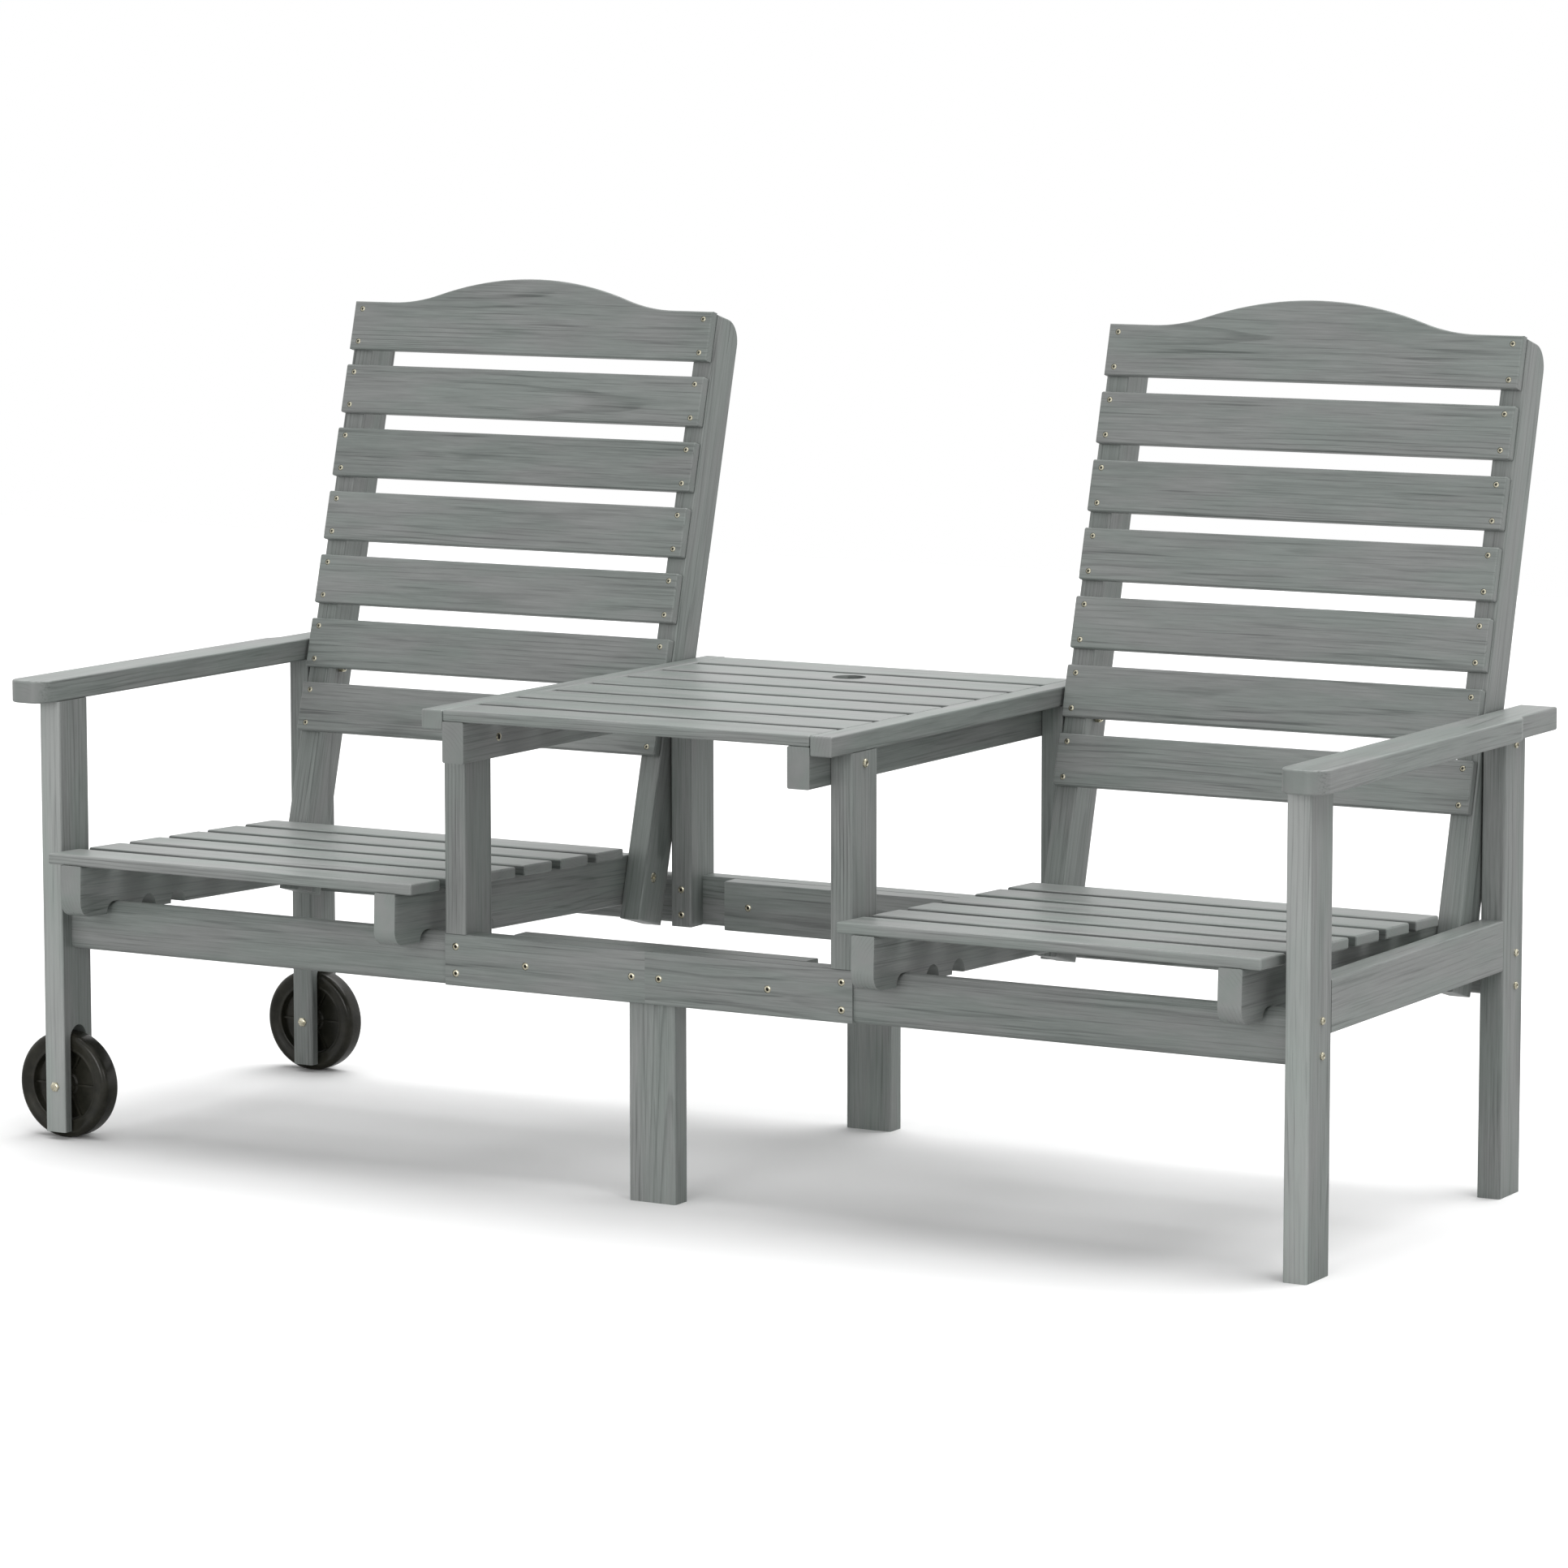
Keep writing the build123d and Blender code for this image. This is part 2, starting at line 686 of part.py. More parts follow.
def seat_peg_rods(diameter):
    """Pegs, or their holes, between the seat rails and the slats."""
    start_z = seat_top + peg_in_slat - peg_length
    return [
        rod((x, seat_slat_y(index) + slat_width / 2, start_z), (0, 0, 1), diameter, peg_length)
        for index in range(seat_slat_count)
        for x in (seat_rail_inner_x + stock / 2, seat_rail_outer_x - stock / 2)
    ]


def seat_slat(index):
    """A seat slat across the two seat rails."""
    front = seat_slat_y(index)
    x_span = spread(bay_mid_x, seat_slat_length / 2)
    board = slat(x_span, (front, front + slat_width), (seat_top, seat_top + slat_thickness))
    return seat_frame * drill(board, seat_peg_rods(dowel_diameter + 2 * dowel_fit))


# Wheels

def wheel(middle_y):
    """A moulded wheel with a dished web, ribs and a long hub, on its axle bolt."""
    rim = Cylinder(wheel_diameter / 2, wheel_width)
    rim = fillet(rim.edges().filter_by(GeomType.CIRCLE), wheel_round)
    rim -= Cylinder(wheel_recess / 2, wheel_width)
    web = Cylinder(wheel_recess / 2, wheel_web)
    hub = Cylinder(hub_diameter / 2, hub_length)
    rib_length = wheel_recess / 2
    rib = Pos(rib_length / 2, 0, 0) * Box(rib_length, rib_thickness, wheel_width - 2 * wheel_lip)
    ribs = [Rot(0, 0, turn * 360 / rib_count) * rib for turn in range(rib_count)]
    bore = Cylinder(bolt_diameter / 2 + running_fit, hub_length)
    upright = rim + web + hub + ribs - bore
    return Pos(-outer_mid_x, middle_y, axle_z) * Rot(90, 0, 0) * upright


def axle_bolt(front_y):
    """The bolt through a slotted leg and its wheel."""
    place = (-outer_mid_x, front_y, axle_z)
    return headed(place, rearward, bolt_diameter, axle_length, bolt_head, bolt_head_height, 0)


def write(name, pieces):
    """Write one named sub-part, of one or more separate solids."""
    solids = [solid for piece in pieces for solid in (footprint * piece).solids()]
    export_step(Compound(solids), f"parts/{name}.step")


def write_pair(name, piece):
    """Write a piece of the right half and its twin of the left half."""
    write(f"right_{name}", [piece])
    write(f"left_{name}", [mirrored(piece)])


def write_both_ends(name, right_pieces, extra=()):
    """Write alike fasteners of both halves as one sub-part."""
    left_pieces = [mirrored(piece) for piece in right_pieces]
    write(name, [*right_pieces, *left_pieces, *extra])


def write_chair_group(name, pieces):
    """Write a group of alike pieces of the right chair, and the same group of the left chair."""
    write(f"right_{name}", pieces)
    write(f"left_{name}", [mirrored(piece) for piece in pieces])


os.makedirs("parts", exist_ok=True)

write("right_outer_front_post", [outer_post(0)])
write("right_outer_rear_post", [outer_post(rear_y)])
write("left_outer_front_post", [wheel_post(0)])
write("left_outer_rear_post", [wheel_post(rear_y)])
write_pair("arm", arm())
write_pair("side_rail", side_rail())
write_pair("front_rail", chair_rail(front_rail_mid_y))
write_pair("rear_rail", chair_rail(rear_rail_mid_y))
write_pair("inner_front_post", inner_post(inner_front_y, inner_front_y))
write_pair("inner_rear_post", inner_post(rear_y, rear_mid_y))

write_pair("front_board", beam_board(inner_front_y))
write_pair("rear_board", beam_board(rear_mid_y))
write("front_splice", [splice(inner_front_mid_y)])
write("rear_splice", [splice(rear_y)])
write("front_middle_leg", [middle_leg(inner_front_mid_y)])
write("rear_middle_leg", [middle_leg(rear_mid_y)])

write_pair("table_end_board", table_end_board())
write_pair("table_rail", table_rail())
plain_slats = [index for index in range(table_slat_count) if index != umbrella_slats_before_count]
write("table_slats", [table_slat(index) for index in plain_slats])
write("umbrella_slat", [umbrella_slat()])

axle_nuts = [nut((-outer_mid_x, front_y + post_depth, axle_z), rearward) for front_y in (0, rear_y)]
write_both_ends("dowels", right_dowels)
write_both_ends("rail_bolts", right_rail_bolts)
write_both_ends("wood_screws", right_wood_screws)
write_both_ends("table_bolts", right_table_bolts)
write_both_ends("back_pivot_bolts", right_pivot_bolts)
write_both_ends("lock_nuts", right_lock_nuts, axle_nuts)
write_both_ends("pivot_washers", right_washers)
write("axle_bolts", [axle_bolt(0), axle_bolt(rear_y)])

write_pair("back_inner_stile", stile(stile_inner_x))
write_pair("back_outer_stile", stile(stile_outer_x - stock))
write_pair("crown_slat", crown_slat())
write_chair_group("back_slats", [back_slat(index) for index in range(back_slat_count - 1)])
write_chair_group("back_screws", back_screws())
write_chair_group("seat_pivot_bolts", seat_pivot_bolts())

write_pair("seat_inner_rail", seat_rail(seat_rail_inner_x))
write_pair("seat_outer_rail", seat_rail(seat_rail_outer_x - stock))
write_chair_group("seat_slats", [seat_slat(index) for index in range(seat_slat_count)])
write_chair_group("seat_pegs", [seat_frame * peg for peg in seat_peg_rods(dowel_diameter)])

write("front_wheel", [wheel(front_mid_y)])
write("rear_wheel", [wheel(rear_mid_y)])
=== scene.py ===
"""The looks of a reclining companion bench in grey stained timber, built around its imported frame."""

from __future__ import annotations

import json
import logging
import math
import zlib
from dataclasses import dataclass
from enum import Enum
from typing import Iterator, Sequence

import bmesh
import bpy
import numpy as np
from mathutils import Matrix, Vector

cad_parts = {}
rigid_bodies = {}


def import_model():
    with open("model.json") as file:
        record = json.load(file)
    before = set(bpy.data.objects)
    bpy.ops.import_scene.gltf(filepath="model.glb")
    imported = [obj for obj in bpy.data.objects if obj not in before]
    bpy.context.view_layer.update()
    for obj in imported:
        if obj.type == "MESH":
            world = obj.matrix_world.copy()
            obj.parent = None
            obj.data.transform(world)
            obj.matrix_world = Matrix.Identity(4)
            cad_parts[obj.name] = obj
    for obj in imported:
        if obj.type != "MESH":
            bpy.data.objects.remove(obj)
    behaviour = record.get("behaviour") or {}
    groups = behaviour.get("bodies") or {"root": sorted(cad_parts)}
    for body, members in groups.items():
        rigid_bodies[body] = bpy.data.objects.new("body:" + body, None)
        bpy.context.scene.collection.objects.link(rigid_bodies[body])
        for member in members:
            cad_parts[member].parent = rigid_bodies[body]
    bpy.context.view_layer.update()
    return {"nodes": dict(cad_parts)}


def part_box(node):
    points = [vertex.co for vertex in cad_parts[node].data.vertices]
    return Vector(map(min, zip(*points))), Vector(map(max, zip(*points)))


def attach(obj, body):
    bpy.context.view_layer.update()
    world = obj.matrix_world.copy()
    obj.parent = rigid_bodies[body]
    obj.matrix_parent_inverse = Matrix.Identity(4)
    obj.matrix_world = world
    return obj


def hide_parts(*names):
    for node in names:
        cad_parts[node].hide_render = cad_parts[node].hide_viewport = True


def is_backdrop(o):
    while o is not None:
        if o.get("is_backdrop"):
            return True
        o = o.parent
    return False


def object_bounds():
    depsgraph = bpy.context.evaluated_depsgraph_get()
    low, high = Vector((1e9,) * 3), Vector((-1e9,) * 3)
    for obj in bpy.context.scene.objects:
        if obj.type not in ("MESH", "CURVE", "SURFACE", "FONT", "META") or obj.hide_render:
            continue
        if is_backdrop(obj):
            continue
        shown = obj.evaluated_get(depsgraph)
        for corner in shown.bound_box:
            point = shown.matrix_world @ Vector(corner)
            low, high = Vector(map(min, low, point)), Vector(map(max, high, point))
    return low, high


LOG = logging.getLogger("bench")
SIDES = ("left", "right")

Pair = tuple[float, float]
Triple = tuple[float, float, float]
Colour = tuple[float, float, float, float]
Socket = bpy.types.NodeSocket
Node = bpy.types.Node
Thing = bpy.types.Object
Material = bpy.types.Material

LEAN = math.radians(15.0)
SEAT_TILT = math.radians(2.0)
ALONG_BENCH: Triple = (1, 0, 0)
REARWARD: Triple = (0, 1, 0)
UPWARD: Triple = (0, 0, 1)
UP_THE_BACK: Triple = (0, math.sin(LEAN), math.cos(LEAN))
INTO_THE_BACK: Triple = (0, math.cos(LEAN), -math.sin(LEAN))
DOWN_THE_SEAT: Triple = (0, math.cos(SEAT_TILT), -math.sin(SEAT_TILT))
OUT_OF_THE_SEAT: Triple = (0, math.sin(SEAT_TILT), math.cos(SEAT_TILT))
ORIGIN: Triple = (0.0, 0.0, 0.0)

WELD = 1e-6
SMOOTH_LIMIT = math.radians(40.0)


def linear(*levels: int) -> Colour:
    """Turn an eight bit display colour into the linear colour that shaders take.

    Args:
        *levels: Red, green and blue, 0 to 255.

    Returns:
        The linear colour with full alpha.
    """
    shares = [level / 255.0 for level in levels]
    parts = [share / 12.92 if share <= 0.04045 else ((share + 0.055) / 1.055) ** 2.4 for share in shares]
    return (*parts, 1.0)


def seed_of(name: str) -> np.random.Generator:
    """Give the fixed random source that belongs to a name."""
    return np.random.default_rng(zlib.crc32(name.encode()))


class NodeWriter:
    """Adds nodes to one node tree and joins them up."""

    def __init__(self, tree: bpy.types.NodeTree) -> None:
        """Keep the tree that is written to."""
        self.tree = tree

    def fill(self, node: Node, values: dict) -> None:
        """Link a node's inputs to outputs, or set them to plain values.

        Args:
            node: The node whose inputs are filled.
            values: An output or a plain value for each input, by name or number.
        """
        for key, value in values.items():
            if isinstance(value, Socket):
                self.tree.links.new(value, node.inputs[key])
            else:
                node.inputs[key].default_value = value

    def add(self, kind: str, values: dict | None = None, **settings: object) -> Node:
        """Add one node, set its properties and fill its inputs.

        Args:
            kind: The node's class name.
            values: An output or a plain value for each input, by name or number.
            **settings: Properties of the node.

        Returns:
            The new node.
        """
        node = self.tree.nodes.new(kind)
        for key, value in settings.items():
            setattr(node, key, value)
        self.fill(node, values or {})
        return node

    def math(self, operation: str, first: object, second: object = 0.0, clamp: bool = False) -> Socket:
        """Work out one sum, kept between 0 and 1 if it is clamped."""
        node = self.add("ShaderNodeMath", {0: first, 1: second}, operation=operation, use_clamp=clamp)
        return node.outputs[0]

    def plus(self, first: object, second: object) -> Socket:
        """Add two numbers."""
        return self.math("ADD", first, second)

    def minus(self, first: object, second: object) -> Socket:
        """Take the second number from the first."""
        return self.math("SUBTRACT", first, second)

    def times(self, first: object, second: object) -> Socket:
        """Multiply two numbers."""
        return self.math("MULTIPLY", first, second)

    def total(self, *terms: tuple[object, float]) -> Socket:
        """Add up weighted terms.

        Args:
            *terms: Pairs of an output and its weight.

        Returns:
            The sum's output.
        """
        answer: object = 0.0
        for value, weight in terms:
            answer = self.plus(answer, self.times(value, weight))
        return answer

    def vector(self, operation: str, first: object, second: object) -> Socket:
        """Work out one vector sum, whose answer is a number for dot products and lengths."""
        node = self.add("ShaderNodeVectorMath", {0: first, 1: second}, operation=operation)
        return node.outputs["Value" if operation in ("DOT_PRODUCT", "LENGTH") else "Vector"]

    def combine(self, *parts: object) -> Socket:
        """Join three numbers into a vector."""
        return self.add("ShaderNodeCombineXYZ", dict(enumerate(parts))).outputs[0]

    def rise(self, value: object, low: float, high: float) -> Socket:
        """Step smoothly from 0 at one level to 1 at another, which may lie above or below it."""
        values = {"Value": value, "From Min": low, "From Max": high}
        return self.add("ShaderNodeMapRange", values, interpolation_type="SMOOTHSTEP").outputs["Result"]

    def facing(self, normal: Socket, way: Triple, levels: Pair) -> Socket:
        """Mark the faces that look along a way, to either end of it, between two levels of agreement."""
        agreement = self.math("ABSOLUTE", self.vector("DOT_PRODUCT", normal, way))
        return self.rise(agreement, *levels)

    def noise(self, place: object, detail: float, rough: float) -> Socket:
        """Read smooth noise of one unit's size at a place."""
        values = {"Vector": place, "Scale": 1.0, "Detail": detail, "Roughness": rough}
        return self.add("ShaderNodeTexNoise", values).outputs["Fac"]

    def speckle(self, fineness: Triple, detail: float, rough: float) -> Socket:
        """Read noise in the object's own coordinates, so many specks to a metre each way."""
        spot = self.add("ShaderNodeTexCoord").outputs["Object"]
        return self.noise(self.vector("MULTIPLY", spot, fineness), detail, rough)

    def chance(self, number: object, salt: float) -> Socket:
        """Read a random number between 0 and 1 that belongs to a whole number."""
        values = {"W": self.plus(number, salt)}
        return self.add("ShaderNodeTexWhiteNoise", values, noise_dimensions="1D").outputs["Value"]

    def mix(self, share: object, first: object, second: object) -> Socket:
        """Mix two colours by the share of the second."""
        return self.add("ShaderNodeMix", {0: share, 6: first, 7: second}, data_type="RGBA").outputs[2]

    def bump(self, height: object, strength: float, depth: float) -> Socket:
        """Turn a height into a surface direction."""
        values = {"Strength": strength, "Distance": depth, "Height": height}
        return self.add("ShaderNodeBump", values).outputs["Normal"]


def new_material(name: str) -> tuple[Material, NodeWriter, Node]:
    """Start a material.

    Args:
        name: The material's name.

    Returns:
        The material, the writer of its nodes and its surface shader.
    """
    material = bpy.data.materials.new(name)
    material.use_nodes = True
    return material, NodeWriter(material.node_tree), material.node_tree.nodes["Principled BSDF"]


def coat(node: Thing, material: Material) -> None:
    """Give a node one material."""
    node.data.materials.clear()
    node.data.materials.append(material)


@dataclass(frozen=True)
class Lay:
    """How a board lies: along its grain, across its face and through its thickness."""

    along: Triple
    across: Triple
    through: Triple


class Grain(Enum):
    """The ways that the boards of the bench lie."""

    FLAT = Lay(ALONG_BENCH, REARWARD, UPWARD)
    UPRIGHT = Lay(ALONG_BENCH, UPWARD, REARWARD)
    ARM = Lay(REARWARD, ALONG_BENCH, UPWARD)
    SIDE = Lay(REARWARD, UPWARD, ALONG_BENCH)
    POST = Lay(UPWARD, REARWARD, ALONG_BENCH)
    LEG = Lay(UPWARD, ALONG_BENCH, REARWARD)
    STILE = Lay(UP_THE_BACK, INTO_THE_BACK, ALONG_BENCH)
    BACK = Lay(ALONG_BENCH, UP_THE_BACK, INTO_THE_BACK)
    SEAT = Lay(ALONG_BENCH, DOWN_THE_SEAT, OUT_OF_THE_SEAT)
    RUNNER = Lay(DOWN_THE_SEAT, OUT_OF_THE_SEAT, ALONG_BENCH)


@dataclass(frozen=True)
class Row:
    """The boards of one node, side by side, as the node's material measures them."""

    writer: NodeWriter
    name: str
    measures: list[Socket]
    span: Pair
    middle: float
    boards: int
    width: float


@dataclass(frozen=True)
class Board:
    """A point of one board, measured from the heart of its log, and the board's number in a row."""

    writer: NodeWriter
    place: list[Socket]
    number: Socket | None = None


@dataclass(frozen=True)
class Figure:
    """One pattern of the timber: its fineness, its levels, and its weight in tone, gloss and relief."""

    along: float
    across: float
    detail: float = 1.0
    rough: float = 0.5
    levels: Pair | None = None
    tone: float = 0.0
    gloss: float = 0.0
    relief: float = 0.0

    def spot(self, board: Board) -> Socket:
        """Scale a board's point to the pattern's own units."""
        scales = (self.along, self.across, self.across)
        return board.writer.combine(*[board.writer.times(*pair) for pair in zip(board.place, scales)])

    def draw(self, board: Board, sway: Socket | None = None) -> Socket:
        """Draw the pattern, as a step between its two levels where it has them.

        Args:
            board: The board's point.
            sway: How far the pattern is pushed across the grain.

        Returns:
            The pattern's output.
        """
        writer, spot = board.writer, self.spot(board)
        if sway is not None:
            spot = writer.vector("ADD", spot, writer.combine(0.0, sway, sway))
        pattern = writer.noise(spot, self.detail, self.rough)
        return writer.rise(pattern, *self.levels) if self.levels else pattern


@dataclass(frozen=True)
class StainedTimber:
    """Softwood boards under a thin grey stain, each cut from its own place in a log."""

    cool_shade: Colour = linear(77, 83, 80)
    cool_light: Colour = linear(153, 160, 156)
    warm_shade: Colour = linear(83, 85, 84)
    warm_light: Colour = linear(158, 161, 159)
    knot_colour: Colour = linear(58, 60, 57)
    depth_of_stain: float = 0.495
    board_variety: float = 0.06
    roughness: float = 0.28
    specular: float = 0.5
    relief_strength: float = 0.4
    relief_depth: float = 0.0004

    drift: Figure = Figure(1.3, 5.0)
    ripple: Figure = Figure(9.0, 60.0)
    cloud: Figure = Figure(3.2, 19.0, 3.0, 0.6, tone=0.34, gloss=0.10)
    hair: Figure = Figure(15.0, 340.0, 3.0, 0.72, tone=0.56, gloss=0.14, relief=0.6)
    rings: Figure = Figure(3.4, 30.0, 2.0, levels=(0.40, 0.68), tone=-0.26, gloss=-0.04, relief=-0.5)
    streak: Figure = Figure(4.2, 200.0, levels=(0.63, 0.77), tone=-0.26, relief=-0.3)
    vein: Figure = Figure(5.5, 540.0, levels=(0.54, 0.74), tone=-0.20)
    hue: Figure = Figure(6.0, 26.0, 2.0, levels=(0.34, 0.66))
    knot: Figure = Figure(3.1, 12.0, levels=(0.055, 0.02), relief=-0.5)
    knot_choice: Pair = (0.62, 0.66)
    knot_strength: float = 0.75
    mean_hair: float = 0.5

    ring_gap: float = 0.0047
    ring_wander: float = 0.032
    ring_ripple: float = 0.0025
    ring_start: Pair = (0.60, 0.88)
    ring_stop: Pair = (1.0, 0.92)
    ring_share_on_ends: float = 0.40
    sway: float = 6.0

    heart_aside: float = 0.05
    heart_depth: Pair = (0.035, 0.09)
    row_depth: float = 0.05
    log_length: float = 9.0
    row_log_length: float = 6.0
    depth_salt: float = 3.3
    slide_salt: float = 7.7
    tone_salt: float = 1.9

    end_facing: Pair = (0.6, 0.85)
    edge_facing: Pair = (0.75, 0.95)
    sapwood_depth: Pair = (0.004, 0.001)
    slit_margin: float = 0.002
    slit_blend: float = 0.001

    def dress(
        self,
        node: Thing,
        grain: Grain,
        boards: int = 1,
        width: float = 0.0,
        tone: float = 0.0,
        sapwood: float = 0.0,
        painted_slit_shade: float = 0.0,
    ) -> None:
        """Give one node its own cut of the timber.

        Args:
            node: The node that takes the material.
            grain: How its boards lie.
            boards: How many boards lie side by side in the node.
            width: Width of one of those boards, when there are several.
            tone: How much lighter than usual the boards are.
            sapwood: How much lighter the skin of the front edge is.
            painted_slit_shade: How much painted shade darkens the board faces inside the slits beside the
                boards, standing in for the shade that falls there.
        """
        material, writer, shader = new_material(f"timber_{node.name}")
        coordinates = writer.add("ShaderNodeTexCoord").outputs
        spot, normal = coordinates["Object"], coordinates["Normal"]
        lay = grain.value
        measures = [writer.vector("DOT_PRODUCT", spot, way) for way in (lay.along, lay.across, lay.through)]
        points = np.array([vertex.co for vertex in node.data.vertices])
        across, through = points @ np.array(lay.across), points @ np.array(lay.through)
        span = (float(across.min()), float(across.max()))
        middle = float(through.min() + through.max()) / 2
        row = Row(writer, node.name, measures, span, middle, boards, width)
        board = self.lone_board(row) if boards == 1 else self.board_in_row(row)
        skin: object = 0.0
        if sapwood:
            edge = writer.rise(measures[1], *[span[0] + depth for depth in self.sapwood_depth])
            skin = writer.times(edge, sapwood)
        # Painted shade: the board faces inside the slits are darkened, standing in for the shade that falls
        # into the slits.
        if painted_slit_shade:
            edgewise = writer.facing(normal, lay.across, self.edge_facing)
            skin = writer.times(writer.times(edgewise, self.within_slits(row)), -painted_slit_shade)
        end = writer.facing(normal, lay.along, self.end_facing)
        self.paint(shader, board, writer.plus(skin, tone), end)
        coat(node, material)

    def within_slits(self, row: Row) -> Socket:
        """Mark the stretch across the boards that holds their slits, without a row's outer edges, where the
        painted shade of the slits goes.

        Args:
            row: The node's boards.

        Returns:
            The mark's output.
        """
        first = row.span[0] + row.width / 2 - self.slit_margin
        last = row.span[1] - row.width / 2 + self.slit_margin
        after = row.writer.rise(row.measures[1], first, first + self.slit_blend)
        before = row.writer.rise(row.measures[1], last, last - self.slit_blend)
        return row.writer.times(after, before)

    def lone_board(self, row: Row) -> Board:
        """Measure a point of a lone board from the heart of its log, which the node's name fixes.

        Args:
            row: The node's only board.

        Returns:
            The board's point.
        """
        source, writer, measures = seed_of(row.name), row.writer, row.measures
        aside = source.uniform(-self.heart_aside, self.heart_aside)
        below = source.choice((-1.0, 1.0)) * source.uniform(*self.heart_depth)
        along = writer.plus(measures[0], source.uniform(0.0, self.log_length))
        sideways = writer.minus(measures[1], sum(row.span) / 2 - aside)
        return Board(writer, [along, sideways, writer.minus(measures[2], row.middle - below)])

    def board_in_row(self, row: Row) -> Board:
        """Measure a point of one of several alike boards from the heart of that board's own log.

        Args:
            row: The node's boards.

        Returns:
            The board's point.
        """
        source, writer, measures = seed_of(row.name), row.writer, row.measures
        salt = source.uniform(0.0, self.log_length)
        below = source.choice((-1.0, 1.0)) * source.uniform(*self.heart_depth)
        pitch = (row.span[1] - row.span[0] - row.width) / (row.boards - 1)
        first = row.span[0] - (pitch - row.width) / 2
        steps = writer.math("DIVIDE", writer.minus(measures[1], first), pitch)
        number = writer.math("FLOOR", steps)
        local = writer.times(writer.minus(steps, number), pitch)
        shift = writer.times(writer.chance(number, salt), 2 * self.heart_aside)
        sideways = writer.plus(local, writer.minus(shift, self.heart_aside + pitch / 2))
        lift = writer.times(writer.chance(number, salt + self.depth_salt), self.row_depth)
        depth = writer.plus(writer.minus(measures[2], row.middle - below), lift)
        slide = writer.times(writer.chance(number, salt + self.slide_salt), self.row_log_length)
        return Board(writer, [writer.plus(measures[0], slide), sideways, depth], number)

    def paint(self, shader: Node, board: Board, tone: Socket, end: Socket) -> None:
        """Draw clouds, hairlines, rings, streaks, veins and knots and join them to the surface.

        Args:
            shader: The surface shader.
            board: The board's point.
            tone: How much lighter than usual the surface is.
            end: 1 on the board's sawn ends, which show faint rings and no streaks.
        """
        writer = board.writer
        drift = self.drift.draw(board)
        sway = writer.times(drift, self.sway)
        flank = writer.minus(1.0, end)
        shown = writer.total((flank, 1.0), (end, self.ring_share_on_ends))
        shown = writer.times(self.rings.draw(board), shown)
        hair = writer.minus(self.hair.draw(board), self.mean_hair)
        knot = self.knots(board)
        drawn = (
            (self.cloud, self.cloud.draw(board)),
            (self.hair, writer.plus(writer.times(hair, flank), self.mean_hair)),
            (self.rings, writer.times(self.ring_lines(board, drift), shown)),
            (self.streak, writer.times(self.streak.draw(board, sway), flank)),
            (self.vein, writer.times(self.vein.draw(board, sway), flank)),
            (self.knot, knot),
        )
        tones = [(pattern, figure.tone) for figure, pattern in drawn if figure.tone]
        middle = self.depth_of_stain - (self.cloud.tone + self.hair.tone) / 2
        if board.number is not None:
            tones.append((writer.chance(board.number, self.tone_salt), self.board_variety))
            middle -= self.board_variety / 2
        level = writer.math("ADD", writer.total(*tones), writer.plus(tone, middle), clamp=True)
        cool = writer.mix(level, self.cool_shade, self.cool_light)
        warm = writer.mix(level, self.warm_shade, self.warm_light)
        stain = writer.mix(self.hue.draw(board), cool, warm)
        gloss = writer.total(*[(pattern, figure.gloss) for figure, pattern in drawn if figure.gloss])
        relief = writer.total(*[(pattern, figure.relief) for figure, pattern in drawn if figure.relief])
        surface = {
            "Base Color": writer.mix(knot, stain, self.knot_colour),
            "Roughness": writer.plus(gloss, self.roughness),
            "Specular IOR Level": self.specular,
            "Normal": writer.bump(relief, self.relief_strength, self.relief_depth),
        }
        writer.fill(shader, surface)

    def ring_lines(self, board: Board, drift: Socket) -> Socket:
        """Draw the dark late wood of the year rings.

        Args:
            board: The board's point.
            drift: A slow pattern that bends the rings.

        Returns:
            The lines' output, 1 in late wood.
        """
        writer = board.writer
        radius = writer.vector("LENGTH", writer.combine(0.0, *board.place[1:]), ORIGIN)
        ripple = self.ripple.draw(board)
        bent = writer.total((radius, 1.0), (drift, self.ring_wander), (ripple, self.ring_ripple))
        year = writer.math("FRACT", writer.math("DIVIDE", bent, self.ring_gap))
        return writer.times(writer.rise(year, *self.ring_start), writer.rise(year, *self.ring_stop))

    def knots(self, board: Board) -> Socket:
        """Draw a few small dark knots.

        Args:
            board: The board's point.

        Returns:
            The knots' output.
        """
        writer = board.writer
        cells = writer.add("ShaderNodeTexVoronoi", {"Vector": self.knot.spot(board), "Scale": 1.0}).outputs
        lot = writer.vector("DOT_PRODUCT", cells["Color"], (1.0, 0.0, 0.0))
        spot = writer.rise(cells["Distance"], *self.knot.levels)
        return writer.times(writer.times(spot, writer.rise(lot, *self.knot_choice)), self.knot_strength)


@dataclass(frozen=True)
class ZincHardware:
    """Pale yellow passivated zinc on steel, with painted shade inside the sockets."""

    name: str = "zinc"
    bright: Colour = linear(222, 217, 196)
    dull: Colour = linear(170, 165, 143)
    # Painted shade: the dark socket colour stands in for the shade inside the sunk sockets.
    socket: Colour = linear(38, 37, 33)
    roughness: float = 0.14
    bloom_roughness: float = 0.25
    socket_roughness: float = 0.3
    metallic: float = 0.9
    bloom_fineness: Triple = (260.0, 260.0, 260.0)
    bloom_levels: Pair = (0.3, 0.7)

    def material(self) -> Material:
        """Build the finish.

        Returns:
            The finished material.
        """
        material, writer, shader = new_material(self.name)
        bloom = writer.speckle(self.bloom_fineness, 3.0, 0.6)
        skin = writer.mix(writer.rise(bloom, *self.bloom_levels), self.dull, self.bright)
        # The socket mark, where the painted shade goes.
        sunk = writer.add("ShaderNodeAttribute", attribute_name="socket").outputs["Fac"]
        gloss = writer.total((bloom, self.bloom_roughness), (sunk, self.socket_roughness))
        surface = {
            "Base Color": writer.mix(sunk, skin, self.socket),
            "Roughness": writer.plus(gloss, self.roughness),
            "Metallic": self.metallic,
        }
        writer.fill(shader, surface)
        return material


